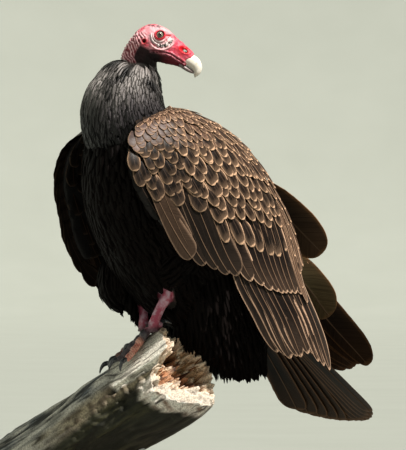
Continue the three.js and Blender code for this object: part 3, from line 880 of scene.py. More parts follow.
# ---- The bill ----
# Two sheaths of horn out of the skin of the face: the upper ivory white and hooked, the lower one short and
# grey.
UPPER = [
    (42.5, -11.5, 7.6, 7.6),
    (50, -11.9, 8.8, 8.2),
    (57, -12.2, 9.2, 8.3),
    (63.5, -13.5, 9.0, 7.6),
    (68.5, -16.8, 8.0, 6.3),
    (71.2, -21.0, 6.4, 5.0),
    (72.2, -25.2, 4.6, 3.8),
    (72.5, -28.8, 2.3, 2.1),
    (72.8, -31.5, 0.7, 0.7),
]
LOWER = [
    (44, -24.0, 3.4, 6.8),
    (50.3, -24.8, 3.7, 7.2),
    (58, -25.5, 3.6, 6.4),
    (64, -25.7, 3.0, 4.8),
    (68.4, -25.6, 1.9, 2.5),
    (70, -25.4, 0.7, 1.0),
]


def horn(profile, rings, sides):
    """Rings along a path bent in the head's middle plane, each row its f and g, half depth and half width;
    the rings are egg-shaped, narrower above."""
    f, g, deep, wide = curve(profile, np.linspace(0, 1, rings)).T[:, :, None]
    slope = np.arctan2(np.gradient(g[:, 0]), np.gradient(f[:, 0]))[:, None]
    sin, cos = np.sin(turns(sides)), np.cos(turns(sides))
    out = deep * sin
    return in_head(f - out * np.sin(slope), g + out * np.cos(slope), wide * cos * (1 - 0.16 * sin))


def bill_horn(shade, worn):
    """Horn with faint growth lines across it, clouded by a second, worn shade."""

    def surface(tree):
        cloud = grain(tree, 240, 4)
        lines = grain(tree, 500, 3, (1, 1, 2.5))
        return {
            "Base Color": blended(tree, ranged(tree, cloud, 0.35, 0.7), paint(*shade), paint(*worn)),
            "Roughness": ranged(tree, lines, 0.3, 0.7, 0.28, 0.42),
            "Normal": relief(tree, lines, 0.25, 0.0004),
            "Coat Weight": 0.3,
            "Coat Roughness": 0.2,
        }

    return surface


for name, profile, shade, worn in (
    ("upper", UPPER, (247, 243, 233), (226, 214, 196)),
    ("lower", LOWER, (146, 130, 128), (104, 90, 92)),
):
    bill = piece_from("horn_" + name, *shell(horn(profile, 48, 36)))
    bill.data.materials.append(finish("bill horn " + name, bill_horn(shade, worn)))
    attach(bill, "root")
    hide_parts("bill_" + name)

# ---- The ruff, breast and back ----
# Soft contour feathers, each a thin closed vane rooted in the skin, laid in staggered rows that overlap
# like shingles down the body. Every vane is a few dozen faces, and its tip lies at the body's outer
# surface.
draw = np.random.default_rng(17)
BARB_SLANT = 0.9  # how far along its feather a barb runs for each millimetre that it runs out
PATCH = 0.003  # the side of a small feather's patch of the baking map
GUTTER = 0.003  # the gap round a large feather's patch


def rows_to_tip(count, blunt=1.5):
    """Steps from 0 at a feather's root to just short of 1 at its tip, closer together towards the tip."""
    return 1 - (1 - np.linspace(0, 0.9965, count)) ** blunt


def outline(s, widest=0.55, root=0.35, square=2.2):
    """A vane's half width along it, as a share: it opens from the root to its widest, then rounds off as a
    superellipse, (1 - q^square)^(1 / square), where q runs from 0 at the widest to 1 at the tip."""
    opening = root + (1 - root) * ramp(s, -0.1, widest)
    q = np.clip((s - widest) / (1 - widest), 0, 1)
    return opening * (1 - q**square) ** (1 / square)


def lie(surface, hand, root, tip, low, high, s, yaw=0.0, roll=0.0, flatness=2.0):
    """Feathers' centre lines over a surface of two parameters. Each runs from its root to its tip, and
    rises from lift low to lift high as 1 - (1 - s)^flatness. It bends sideways by yaw times its length, and
    turns about itself by roll. hand is 1 or -1, as the surface's slopes cross outwards or inwards. Returns
    centres, side vectors and up vectors, as arrays."""
    a = root[0][:, None] + (tip[0] - root[0])[:, None] * s
    b = root[1][:, None] + (tip[1] - root[1])[:, None] * s
    lift = low[:, None] + (high - low)[:, None] * (1 - (1 - s) ** flatness)
    centre = surface(a, b, lift)
    e = 0.004
    slope_a = surface(a + e, b, lift) - surface(a - e, b, lift)
    slope_b = surface(a, b + e, lift) - surface(a, b - e, lift)
    up = hand * unit(np.cross(slope_a, slope_b))
    along = unit(np.gradient(centre, axis=1))
    side = unit(np.cross(along, up))
    up = np.cross(side, along)
    run = np.linalg.norm(centre[:, -1] - centre[:, 0], axis=1)
    sideways = np.broadcast_to(yaw * run, run.shape)[:, None] * s**1.5
    centre = centre + side * sideways[..., None]
    roll = np.broadcast_to(roll, run.shape)[:, None, None]
    cos, sin = np.cos(roll), np.sin(roll)
    return centre, side * cos + up * sin, up * cos - side * sin


def loops_map(piece, name, places):
    """Writes a map of a piece from a place for each of its points."""
    corners = np.empty(len(piece.data.loops), np.int32)
    piece.data.loops.foreach_get("vertex_index", corners)
    piece.data.uv_layers.new(name=name).data.foreach_set("uv", places[corners].astype(np.float32).ravel())


def vanes(name, lines, half, s, tone, rim, patch, columns=(-1, 0, 1), camber=0.18, thick=0.35, quill=0.0,
          lean=0.0):
    """Feathers as one mesh of closed vanes. Across a vane, at the columns r from -1 to 1, the height falls
    from its middle as camber times the half width times r^2, a quill stands along its middle, and its
    underside lies a thickness below; lean makes its right half wider and its left half narrower. Each vane
    has its own tone and pale rim, a value that grows along its slanting barbs, a number of its own, and its
    own patch of the baking map, given by a corner and a size."""
    centre, side, up = lines
    count, rows = half.shape
    r = np.asarray(columns, float)
    ring = np.concatenate([r, r[-2:0:-1]])
    under = np.concatenate([np.zeros(len(r)), np.ones(len(r) - 2)])
    out = half[:, :, None] * ring * (1 + np.sign(ring) * np.broadcast_to(lean, count)[:, None, None])
    drop = -camber * half[:, :, None] * ring**2 + quill * (np.abs(ring) < 0.01) * (1 - 2 * under)
    drop = drop - thick * under * (1 - ring**2)
    points = centre[:, :, None] + side[:, :, None] * out[..., None] + up[:, :, None] * drop[..., None]

    sides = len(ring)
    steps = (np.arange(count), np.arange(rows - 1), np.arange(sides))
    n, i, k = (m.ravel() for m in np.meshgrid(*steps, indexing="ij"))
    here = (n * rows + i) * sides + k
    beside = (n * rows + i) * sides + (k + 1) % sides
    quads = np.stack([here, beside, beside + sides, here + sides], 1)
    first = np.arange(count)[:, None] * rows * sides
    roots = first + np.arange(sides)[::-1]
    tips = first + (rows - 1) * sides + np.arange(sides)
    piece = piece_from(name, points.reshape(-1, 3), quads, roots, tips)

    every = np.ones((count, rows, sides))
    flat = np.stack([every * (ring * 0.5 + 0.5), every * s[None, :, None]], -1)
    loops_map(piece, "Vane", flat.reshape(-1, 2))
    spot, size = patch
    loops_map(piece, "OFBake", (spot[:, None, None] + flat * size).reshape(-1, 2))
    dye(piece, (every[..., None] * tone[:, None, None]).reshape(-1, 3))
    reach = np.linalg.norm(np.diff(centre, axis=1), axis=2)
    reach = np.concatenate([np.zeros((count, 1)), np.cumsum(reach, 1)], 1)
    values = {
        "rim": np.broadcast_to(rim, count)[:, None, None],
        "barb": reach[:, :, None] - BARB_SLANT * np.abs(out),
        "seed": draw.random(count)[:, None, None],
    }
    for key, value in values.items():
        value = (every * value).astype(np.float32).ravel()
        piece.data.attributes.new(key, "FLOAT", "POINT").data.foreach_set("value", value)
    return piece


def plumage(gloss, shine, pale, quill_tone, streak=0.5, uneven=0.28, tip=(0.9, 0.975), glow=0.0,
            edge_at=0.395):
    """A vane's finish: its own tone in fine streaks along the barbs, a pale worn rim from edge_at out to
    its edge and over the tip where the vane has one, and a quill down the middle; the barbs' ridges catch
    the light. Towards its rim the tone warms by the glow, streak is how deep the streaks are, and uneven
    how much vanes differ in tone."""

    def surface(tree):
        seed = painted(tree, "seed", "Fac")
        place = node(tree, "SeparateXYZ", {0: node(tree, "UVMap", uv_map="Vane").outputs["UV"]})
        r = reckoned(tree, "ABSOLUTE", reckoned(tree, "SUBTRACT", place.outputs["X"], 0.5), 0.0)
        s = place.outputs["Y"]
        spot = {"X": painted(tree, "barb", "Fac"), "Y": r, "Z": reckoned(tree, "MULTIPLY", seed, 90.0)}
        spot = node(tree, "CombineXYZ", spot).outputs[0]
        stripes = node(tree, "TexNoise", {"Vector": spot, "Scale": 0.9, "Detail": 2.0}).outputs["Fac"]

        edge = reckoned(tree, "MAXIMUM", ranged(tree, r, edge_at, edge_at + 0.08), ranged(tree, s, *tip))
        near_edge = ranged(tree, r, 0.2, 0.44, 0.0, glow)
        near_edge = reckoned(tree, "MAXIMUM", near_edge, ranged(tree, s, 0.72, 0.94, 0.0, glow))
        edge = reckoned(tree, "MAXIMUM", edge, near_edge)
        worn = reckoned(tree, "MULTIPLY", edge, ranged(tree, stripes, 0.25, 0.6, 0.55, 1.1))
        worn = reckoned(tree, "MULTIPLY", worn, painted(tree, "rim", "Fac"), use_clamp=True)

        depth = ranged(tree, stripes, 0.3, 0.7, 1 - streak, 1 + streak)
        depth = reckoned(tree, "MULTIPLY", depth, ranged(tree, seed, 0.0, 1.0, 1 - uneven, 1 + uneven))
        body = node(tree, "VectorMath", {0: painted(tree), 3: depth}, operation="SCALE").outputs[0]
        colour = blended(tree, worn, body, pale)
        if quill_tone is not None:
            colour = blended(tree, ranged(tree, r, 0.025, 0.01), colour, quill_tone)
        return {
            "Base Color": colour,
            "Roughness": ranged(tree, stripes, 0.3, 0.7, gloss - 0.06, gloss + 0.08),
            "Normal": relief(tree, stripes, 0.5, 0.0006),
            "Specular IOR Level": shine,
        }

    return surface


def staggered(stations, pitch, spread, start, end):
    """Roots in staggered rows round the surface through stations: rows a pitch apart from t start to end,
    and roots a spread apart along each row, with a little disorder. Returns t, angle and the length of the
    curve."""
    t = np.linspace(0, 1, 400)
    row = curve(stations, t)
    run = np.concatenate([[0], np.cumsum(np.linalg.norm(np.diff(row[:, :3], axis=0), axis=1))])
    places = np.arange(np.interp(start, t, run), np.interp(end, t, run), pitch)
    at, angle = [], []
    for index, place in enumerate(places):
        there = np.interp(place, run, t)
        wide, deep = curve(stations, there)[3:5]
        count = max(6, int(2 * np.pi * math.sqrt((wide**2 + deep**2) / 2) / spread))
        at.append(np.full(count, there))
        angle.append((np.arange(count) + 0.5 * (index % 2)) / count * 2 * np.pi)
    at, angle = np.concatenate(at), np.concatenate(angle)
    at = at + draw.normal(0, 0.18 * pitch, len(at)) / run[-1]
    angle = angle + draw.normal(0, 0.1, len(at)) * spread / 60
    return np.clip(at, 0, 1), angle, run[-1]


skin_faces = [list(face.vertices) for face in skin.data.polygons]
flesh_tree = BVHTree.FromPolygons((skin_points * MM).tolist(), skin_faces)


def outside_skin(points, margin=0.0):
    """Whether each point lies outside the skin by more than a margin in millimetres."""
    out = np.zeros(len(points), bool)
    for index, point in enumerate(points * MM):
        near, normal = flesh_tree.find_nearest(Vector(point))[:2]
        out[index] = (Vector(point) - near).dot(normal) > margin * MM
    return out


contour = finish("contour plumage", plumage(0.6, 0.04, paint(128, 104, 84), None, 0.35, 0.14))
ruff_finish = finish("ruff plumage", plumage(0.4, 0.2, paint(96, 88, 84), None, 0.35, 0.2))


def round_map(t, angle):
    """The corners of a round coat's patches in the baking map, laid out by t and angle, and the patches'
    side."""
    return np.stack([angle / (2 * np.pi) % 1 * 0.995, t * 0.995], 1), PATCH


def round_coat(name, surface, roots, length, width, toward, depth, keep, proud=0.4, ragged=0.06,
               material=contour, camber=0.1):
    """One piece of coat on a surface of t and angle round the body, from its roots and the curve's length.
    toward is 1 where the feathers point along it and -1 where they point back; keep chooses roots by their
    place; depth is the coat's depth, proud how far its tips may stand out, and ragged how far they stray
    sideways."""
    t, angle, run = roots
    base = surface(t, angle, 0 * t)
    chosen = keep(base)
    t, angle, base = t[chosen], angle[chosen], base[chosen]
    size = length * draw.uniform(0.85, 1.15, len(t))
    s = rows_to_tip(6)
    tips = (t + toward * size / run, angle)
    high = draw.uniform(-1.0, proud, len(t))
    yaw, roll = draw.normal(0, ragged, len(t)), draw.normal(0, 0.05, len(t))
    lines = lie(surface, -1, (t, angle), tips, np.full(len(t), -depth - 1.0), high, s, yaw, roll, 3.2)
    alive = outside_skin(lines[0][:, -2], 1.0)
    lines = [line[alive] for line in lines]
    t, angle, base = t[alive], angle[alive], base[alive]
    half = width * draw.uniform(0.85, 1.15, (len(t), 1)) / 2 * outline(s)
    half = half * (1 + draw.normal(0, 0.06, half.shape))
    coat = vanes(name, lines, half, s, body_colour(base), 0.0, round_map(t, angle), camber=camber)
    coat.data.materials.append(material)
    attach(coat, "root")
    return coat


def in_ruff(points):
    """Roots below the collar, the slanting line where the bare neck goes into the ruff."""
    f, g = head_coordinates(points)[:2]
    return g < collar(f) + 1


def on_body(stations):
    """The surface through stations as a function of t, angle and lift."""
    return lambda t, angle, lift: round_body(stations, t, angle, lift)


ruff_roots = staggered(NECK, 3.5, 2.7, 0.03, 0.88)
round_coat("coat_ruff", on_body(NECK), ruff_roots, 20, 5.8, -1, 7, in_ruff, 0.0, 0.09, ruff_finish, 0.05)


def on_bare_neck(t, angle, lift):
    """The surface of the bare neck, downwards from the head as t grows."""
    g, f, long, wide, leftward = np.moveaxis(curve(BARE_NECK, t), -1, 0)
    return in_head(f + (long + lift) * np.sin(angle), g, leftward + (wide + lift) * np.cos(angle))


around = np.linspace(0, 2 * np.pi, 42)[None] + 0.07 * (np.arange(11) % 2)[:, None]
down_neck = (np.linspace(0.5, 0.86, 11)[:, None] + 0 * around).ravel()
throat_roots = (down_neck + draw.normal(0, 0.008, down_neck.size), around.ravel(), 62.0)
round_coat("coat_collar", on_bare_neck, throat_roots, 13, 5.5, 1, 0.2, in_ruff, 2.6, 0.2, ruff_finish)

BACK_LEFT = (0.545, 0.839, 0)  # level, towards the bird's back and a little to its left
RIGHT_BACK = (-0.839, 0.545, 0)  # level and square to that, towards its right


def in_front(points):
    """Roots on the breast's side of the trunk."""
    middle = curve(TRUNK, np.interp(points[:, 2], [272, 640], [1, 0]))[:, 1]
    return points[:, 1] < middle - 5


def off_shanks(points):
    """Roots whose feathers wouldn't hang over the bare shanks."""
    free = np.ones(len(points), bool)
    for leg in LEGS.values():
        from_hock = points - np.array(leg["hock"])
        away = np.linalg.norm(from_hock[:, :2] - (2, -14), axis=1)
        behind = (from_hock @ RIGHT_BACK > 3) | (from_hock @ BACK_LEFT > 7)
        free &= (away > 30) | (points[:, 2] > leg["fringe"] + 46) | behind
    return free


trunk_roots = staggered(TRUNK, 7, 6, 0.06, 0.99)
round_coat("coat_breast", on_body(TRUNK), trunk_roots, 38, 10.5, 1, COAT,
           lambda points: in_front(points) & off_shanks(points), 0.3, 0.09)
round_coat("coat_back", on_body(TRUNK), trunk_roots, 36, 12, 1, COAT,
           lambda points: ~in_front(points) & off_shanks(points))

# ---- The thighs and the vent ----
# Dark feathered legs down to the hock, where a ragged fringe ends over the bare shank, and long soft plumes
# that hang from the belly behind the legs.
for side, leg in LEGS.items():
    stations = thigh_stations(leg)
    full = stations[:-1] + [tuple(np.array(stations[-1]) + (0, 0, 9, 3, 3))]
    lowest = leg["fringe"] + (6 if side == "left" else -20)
    round_coat("coat_thigh_" + side, on_body(full), staggered(full, 6, 5.5, 0.1, 0.93), 23, 9, 1, COAT,
               lambda points: points[:, 2] > lowest, 0.6, 0.12)


def hanging(name, surface, t, angle, hem, keep, longest):
    """Plumes from roots at t and angle on a surface, which hang to the heights a hem gives them, no longer
    than the longest; keep chooses them by root, outward direction and length."""
    roots = surface(t, angle, -7 + 0 * t)
    away = unit(surface(t, angle, 1 + 0 * t) - surface(t, angle, 0 * t))
    long = np.clip(roots[:, 2] - hem(roots), 0, longest) * draw.uniform(0.8, 1.06, len(t))
    chosen = keep(roots, away) & (long > 14)
    roots, away, long, t, angle = roots[chosen], away[chosen], long[chosen, None], t[chosen], angle[chosen]
    s = rows_to_tip(7)
    fall = np.stack([0 * s, 0.16 * s, -s], -1)  # down, and a little back
    centre = roots[:, None] + fall * long[..., None] + away[:, None] * (7 * s - 3 * s**2)[:, None]
    centre = centre + draw.normal(0, 0.07, (len(t), 1, 3)) * (long * s**1.5)[..., None]
    along = unit(np.gradient(centre, axis=1))
    across = unit(np.cross(along, away[:, None] + 0 * along))
    half = 4.6 * outline(s, 0.45, 0.4, 1.7) * draw.uniform(0.8, 1.2, (len(t), 1))
    lines = (centre, across, np.cross(across, along))
    plumes = vanes(name, lines, half, s, body_colour(roots), 0.0, round_map(t, angle), camber=0.1)
    plumes.data.materials.append(contour)
    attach(plumes, "root")


t, angle = staggered(TRUNK, 7, 6, 0.55, 0.985)[:2]
hanging("coat_vent", on_body(TRUNK), t, angle,
        lambda points: np.interp(points[:, 1], [20, 60, 100, 150, 185], [330, 292, 264, 254, 262]),
        lambda points, away: (away[:, 2] < 0.1) & (points[:, 1] > 34), 62)
stations = thigh_stations(LEGS["right"])
t, angle = staggered(stations, 5, 4, 0.35, 0.97)[:2]
hanging("coat_far_fringe", on_body(stations), t, angle,
        lambda points: np.interp(points @ BACK_LEFT, [-60, -37, -22, -9], [383, 362, 331, 331]),
        lambda points, away: (away[:, 2] < 0.2) & (points @ BACK_LEFT < -22), 54)
stations = thigh_stations(LEGS["left"])
t, angle = staggered(stations, 5, 4, 0.35, 0.97)[:2]
hanging("coat_near_fringe", on_body(stations), t, angle, lambda points: 366 + 0 * points[:, 0],
        lambda points, away: (away[:, 2] < 0.2) & (points @ BACK_LEFT > 38), 40)

# ---- The folded wings' coverts ----
# Rows of short feathers that shingle the wing from the shoulder down, small and buff-edged at the shoulder,
# broad with pale rims below, and long, narrow and bright-edged in a stack along the back edge.
buff_rim = plumage(0.42, 0.15, paint(228, 186, 152), paint(70, 54, 44), 0.45, 0.32, (0.905, 0.965),
                   glow=0.16, edge_at=0.39)
covert = finish("covert plumage", buff_rim)
HAND = {"left": -1, "right": 1}  # whether the slopes of a wing's leaf cross outwards


def on_wing(side):
    """A wing's leaf as a function of u, v and lift."""
    return lambda u, v, lift: leaf(side, u, v, lift)


def leaf_step(side, u, v):
    """How many millimetres the wing's surface runs for one unit of v."""
    return np.linalg.norm(leaf(side, u, v + 0.01) - leaf(side, u, v - 0.01), axis=-1) / 0.02


def wing_roots(side, tips, length):
    """Roots for feathers from their tips (u, v): each lies its length back up the wing."""
    u, v = tips
    return u, v - length / leaf_step(side, u, np.clip(v, 0.05, 0.95))


def strewn(side, u_range, v_range, across, down):
    """Feather tips over a patch of wing, in staggered rows: so many millimetres apart across and down
    it."""
    front, back = u_range
    us, vs = [], []
    v = v_range[0]
    while v <= v_range[1]:
        wide = np.linalg.norm(leaf(side, back, v) - leaf(side, front, v))
        count = max(2, int(wide / across))
        stagger = 0.25 + 0.5 * (len(us) % 2)
        us.append(front + (np.arange(count) + stagger) / count * (back - front))
        vs.append(np.full(count, v))
        v += down / float(leaf_step(side, 0.5, v))
    u, v = np.concatenate(us), np.concatenate(vs)
    return u + draw.normal(0, 0.16, len(u)) * across / 200, v + draw.normal(0, 0.2, len(v)) * down / 450


def tract(side, tips, length, width, low, high, tone, rim, rows, widest=0.6, square=2.2, yaw=0.04, hand=1):
    """One tract of a wing's feathers from their tips: its lines, half widths, tones, rims and tips, ready
    to join with others. hand is -1 on the leaf's inner side. Tones are darker round one patch near the
    wing's front."""
    tips = tuple(np.asarray(k, float) for k in tips)
    count = len(tips[0])
    size = np.broadcast_to(length, count) * draw.uniform(0.92, 1.08, count)
    s = rows_to_tip(rows)
    low, high = np.full(count, float(low)), high + draw.uniform(-0.4, 0.4, count)
    lines = lie(on_wing(side), HAND[side] * hand, wing_roots(side, tips, size), tips, low, high, s,
                draw.normal(0, yaw, count), draw.normal(0, 0.05, count))
    half = np.broadcast_to(width, count)[:, None] / 2 * outline(s, widest, 0.4, square)
    half = half * draw.uniform(0.93, 1.07, (count, 1)) * (1 + draw.normal(0, 0.025, half.shape))
    # Tones darken by up to seven tenths round one patch near the wing's front.
    worn = 1 - 0.7 * np.exp(-(((tips[0] - 0.2) / 0.13) ** 2) - ((tips[1] - 0.38) / 0.14) ** 2)
    tones = np.broadcast_to(paint(*tone), (count, 3)) * (draw.uniform(0.78, 1.22, count) * worn)[:, None]
    rims = np.broadcast_to(float(rim), count) * draw.uniform(0.75, 1.1, count)
    return lines, half, tones, rims, tips


def gathered(sets):
    """Several sets of feathers as one: their lines, half widths, tones and rims."""
    lines = [np.concatenate([feathers[0][k] for feathers in sets]) for k in range(3)]
    return lines, *(np.concatenate([feathers[k] for feathers in sets]) for k in (1, 2, 3))


def wing_coat(name, tracts, columns, **settings):
    """Joins tracts into one piece of coat."""
    lines, half, tones, rims = gathered(tracts)
    spot = np.clip(np.concatenate([feathers[4] for feathers in tracts], 1), 0, 1).T * 0.99
    s = rows_to_tip(half.shape[1])
    coat = vanes(name, lines, half, s, tones, rims, (spot, PATCH), columns, **settings)
    coat.data.materials.append(covert)
    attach(coat, "root")
    return coat


for side in ("left", "right"):
    edge = 0.0 if side == "left" else 0.07
    small = [
        tract(side, strewn(side, (edge, 0.99), (0.055, 0.2), 8, 10), 31, 8.6, -7, 1.5,
              (88, 67, 55), 1.05, 7, yaw=0.12, square=1.7),
        tract(side, strewn(side, (0.28, 0.97), (0.2, 0.35), 11, 12), 34, 12.4, -6, 2.0,
              (70, 52, 42), 1.15, 7, yaw=0.09, square=1.9),
        # These coverts' greyish-violet tone is their brown with a painted sheen, a reflection of the sky.
        tract(side, strewn(side, (edge, 0.3), (0.2, 0.31), 12, 11), 30, 14, -6, 1.2,
              (94, 78, 74), 0.6, 7, yaw=0.08),
    ]
    wing_coat("coverts_small_" + side, small, (-1, -0.8, 0.8, 1))

    # Broad coverts: the front of the wing, five large ones, the middle of it, and the row over the
    # secondaries.
    broad = [
        tract(side, strewn(side, (0.04 + edge, 0.32), (0.32, 0.5), 16, 15), 42, 20, -6, 0.8,
              (28, 22, 18), 0.6, 9, yaw=0.07),
        tract(side, ([0.18, 0.27, 0.1, 0.2, 0.3], [0.53, 0.56, 0.5, 0.49, 0.51]), 50, 28, -5, 1.2,
              (26, 20, 17), 0.5, 9),
        tract(side, strewn(side, (0.3, 0.87), (0.36, 0.605), 18, 18), 50, 21, -6, 2.2,
              (29, 21, 16), 1.2, 9, yaw=0.05, square=2.0),
        tract(side, ([0.35, 0.43, 0.5, 0.58, 0.66, 0.74, 0.81], [0.65, 0.66, 0.665, 0.67, 0.675, 0.67, 0.65]),
              66, 24, -5, 1.2, (23, 17, 14), 1.0, 9),
    ]
    if side == "left":
        # The near wing's bright stack along its back edge, in two files and a patch, and dark ones under
        # its front.
        broad += [
            tract(side, (np.linspace(0.9, 0.97, 13) + draw.normal(0, 0.012, 13), np.linspace(0.2, 0.67, 13)),
                  50, 8.5, -3, 4.0, (60, 45, 36), 1.3, 9, widest=0.7, yaw=0.06),
            tract(side, (np.linspace(0.84, 0.91, 12) + draw.normal(0, 0.012, 12), np.linspace(0.23, 0.7, 12)),
                  52, 10, -3, 3.2, (52, 39, 31), 1.25, 9, widest=0.7, yaw=0.06),
            tract(side, strewn(side, (0.68, 0.99), (0.13, 0.45), 13, 17), 46, 12.5, -2, 3.4,
                  (50, 37, 30), 1.35, 9, yaw=0.1, square=1.7),
            tract(side, (np.full(12, 0.045), np.linspace(0.3, 0.56, 12)), 46, 20, -9, -5.5,
                  (13, 10, 8), 0.0, 9, widest=0.7, yaw=0.0),
        ]
    else:
        broad += [
            tract(side, (np.full(15, 0.035), np.linspace(0.1, 0.74, 15)), 62, 30, -7, -1.5,
                  (34, 27, 23), 0.1, 9, widest=0.7, yaw=0.0),
        ]
    broad += [
        tract(side, strewn(side, (0.1, 0.85), (0.18, 0.62), 20, 20), 50, 30, -14, -18,
              (26, 21, 18), 0.05, 9, hand=-1),
    ]
    wing_coat("coverts_broad_" + side, broad, (-1, -0.86, 0, 0.86, 1), quill=0.25)

# ---- The flight feathers ----
# The long stiff feathers: the secondaries fold over the primaries, each inner one over its outer neighbour,
# so that only a strip of each shows, with its quill. A broad pale bastard wing lies over the wrist's lower
# edge.
fine_rim = plumage(0.4, 0.1, paint(204, 168, 140), paint(128, 102, 82), 0.35, 0.25, (0.975, 0.994),
                   glow=0.05, edge_at=0.39)
# On the far wing and the tail, the brown rims and the warm glow towards them are painted light: the sun
# shining through the feathers' thin edges.
backlit_brown_rim = plumage(0.5, 0.05, paint(128, 92, 62), paint(96, 76, 60), 0.35, 0.25, (0.97, 0.995), glow=0.2)
flight_finish = finish("flight plumage", fine_rim)
far_finish = finish("far plumage", backlit_brown_rim)
COLUMNS = (-1, -0.96, -0.7, -0.4, -0.1, -0.035, 0, 0.035, 0.1, 0.4, 0.7, 0.96, 1)


def quills(side, tips, roots, width, low, high, tone, rim, widest=0.86, root=0.5, square=2.4, lean=0.35,
           roll=0.0):
    """Long feathers from root to tip places, narrower on their leading side: their lines, half widths,
    tones, rims and leans. roll turns them all about themselves, so that each overlaps its neighbour."""
    tips, roots = ([np.asarray(k, float) for k in ends] for ends in (tips, roots))
    count = len(tips[0])
    s = rows_to_tip(24, 1.9)
    low, high = np.broadcast_to(low, count), np.broadcast_to(high, count)
    lines = lie(on_wing(side), HAND[side], roots, tips, low, high, s,
                draw.normal(0, 0.008, count), draw.normal(roll, 0.02, count))
    half = np.broadcast_to(width, count)[:, None] / 2 * outline(s, widest, root, square)
    half = half * draw.uniform(0.96, 1.04, (count, 1)) * (1 + draw.normal(0, 0.007, half.shape))
    tones = np.broadcast_to(paint(*tone), (count, 3)) * draw.uniform(0.85, 1.15, (count, 1))
    return lines, half, tones, np.full(count, float(rim)), np.full(count, lean * HAND[side])


def fan(name, sets, material, camber=0.07, quill=0.7):
    """Joins sets of long feathers into one piece, each feather with its own cell of the baking map."""
    lines, half, tones, rims = gathered(sets)
    count = len(half)
    across = math.ceil(math.sqrt(count * 2.5))
    down = math.ceil(count / across)
    cell = np.arange(count)
    spot = np.stack([cell % across / across, cell // across / down], 1) + GUTTER
    size = (1 / across - 2 * GUTTER, 1 / down - 2 * GUTTER)
    lean = np.concatenate([feathers[4] for feathers in sets])
    coat = vanes(name, lines, half, rows_to_tip(half.shape[1], 1.9), tones, rims, (spot, size), COLUMNS,
                 camber=camber, thick=0.5, quill=quill, lean=lean)
    coat.data.materials.append(material)
    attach(coat, "root")
    return coat


# Tips and roots are places (u, v) on the wing. order runs from 0 at the outermost of ten feathers to 1.
order = np.linspace(0, 1, 10)
primaries = ([0.03, 0.12, 0.22, 0.31, 0.41, 0.52, 0.63, 0.74, 0.85, 0.96],
             [0.985, 0.993, 0.995, 0.99, 0.985, 0.975, 0.97, 0.98, 0.985, 0.99])
secondaries = np.array([[0.27, 0.36, 0.44, 0.5, 0.555, 0.61, 0.66, 0.72, 0.78, 0.85],
                        [0.745, 0.762, 0.772, 0.782, 0.785, 0.785, 0.78, 0.775, 0.77, 0.765]])
hand_coverts = (
    ([0.09, 0.16, 0.21, 0.26], [0.72, 0.73, 0.745, 0.752]),
    ([0.16, 0.22, 0.28, 0.34], [0.44] * 4),
    32,
    [-5, -4.5, -4, -3.5],
    [-3.4, -2.6, -1.8, -1.0],
)  # tips, roots, width, lifts at the roots and at the tips
left_sets = [
    quills("left", primaries, (0.58 + 0.24 * order, 0.5 + 0 * order), 34, -9 + 3.5 * order,
           -6.5 + 5.5 * order, (22, 17, 15), 0.75, widest=0.8, square=1.7),
    quills("left", secondaries, (secondaries[0] * 0.8 + 0.14, 0.46 + 0 * order), 31, -5 + order,
           -2 + 3.2 * order, (22, 16, 14), 0.95, square=1.8),
    quills("left", *hand_coverts, (22, 17, 14), 0.3),
    quills("left", ([0.9, 0.88, 0.93], [0.74, 0.79, 0.69]), ([0.86, 0.84, 0.88], [0.5, 0.52, 0.46]), 14,
           [0, 0.5, 1], [2.6, 2.2, 3.2], (66, 50, 40), 1.05),
    quills("left", ([0.035, 0.075], [0.7, 0.66]), ([0.09, 0.13], [0.44, 0.44]), [31, 24], [-3, -2.5],
           [0.8, 0.2], (62, 48, 38), 0.25, lean=0.2),
]
flight = fan("flight_left", left_sets, flight_finish)
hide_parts("wing_left_flight")

# The far wing hangs more open: its primaries lie like shingles, and six broad feathers show past its back
# edge.
right_primaries = ([0.05, 0.16, 0.28, 0.4, 0.52, 0.64, 0.74, 0.84, 0.92, 1.0],
                   [0.97, 0.985, 0.99, 0.995, 1.0, 1.0, 0.995, 0.99, 0.985, 0.99])
outer = secondaries[:, :8]
right_sets = [
    quills("right", right_primaries, (0.5 + 0.35 * order, 0.5 + 0 * order), 44, -4 - 6 * order,
           -2.5 - 7 * order, (30, 24, 20), 0.5, roll=0.09),
    quills("right", outer, (outer[0] * 0.8 + 0.14, [0.44] * 8), 32, -4 + order[:8], -1 + 2 * order[:8],
           (62, 50, 42), 0.5),
    quills("right", *hand_coverts, (40, 32, 27), 0.25),
    quills("right", ([0.05, 0.09], [0.7, 0.66]), ([0.1, 0.14], [0.44, 0.44]), [31, 24], [-3, -2.5],
           [0.8, 0.2], (70, 56, 46), 0.25, lean=0.2),
    # These three are a lighter brown: painted light shining through them from behind.
    quills("right", ([0.9, 0.955, 1.0], [0.8, 0.83, 0.857]), ([0.66, 0.69, 0.72], [0.42, 0.43, 0.44]), 56,
           [-10, -11.5, -13], [-9, -10.5, -12], (78, 68, 48), 0.6, widest=0.8, lean=0.1),
    quills("right", ([0.88, 0.95, 1.0], [0.52, 0.55, 0.572]), ([0.66, 0.7, 0.74], [0.2, 0.22, 0.25]), 66,
           [-16, -17.5, -19], [-15, -16.5, -18], (48, 38, 31), 0.9, widest=0.75, root=0.35, lean=0.0),
]
flight = fan("flight_right", right_sets, far_finish, 0.03, 0.3)
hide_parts("wing_right_flight")

# ---- The tail ----
# Twelve broad stiff feathers in a half-spread fan, the middle pair on top. Their roots lie in the body,
# under the feathers of the back and the vent.
TAIL_ROOT = np.array([0.0, 140, 412])
TAIL_TIP = np.array([-24.0, 366, 184])
TAIL_RUN = TAIL_TIP - TAIL_ROOT
TAIL_ACROSS = unit(np.cross(TAIL_RUN, [0, 0, 1]))
TAIL_UP = unit(np.cross(TAIL_ACROSS, TAIL_RUN))
TAIL_HALF = (34, 106)  # half widths at the root and at the tip


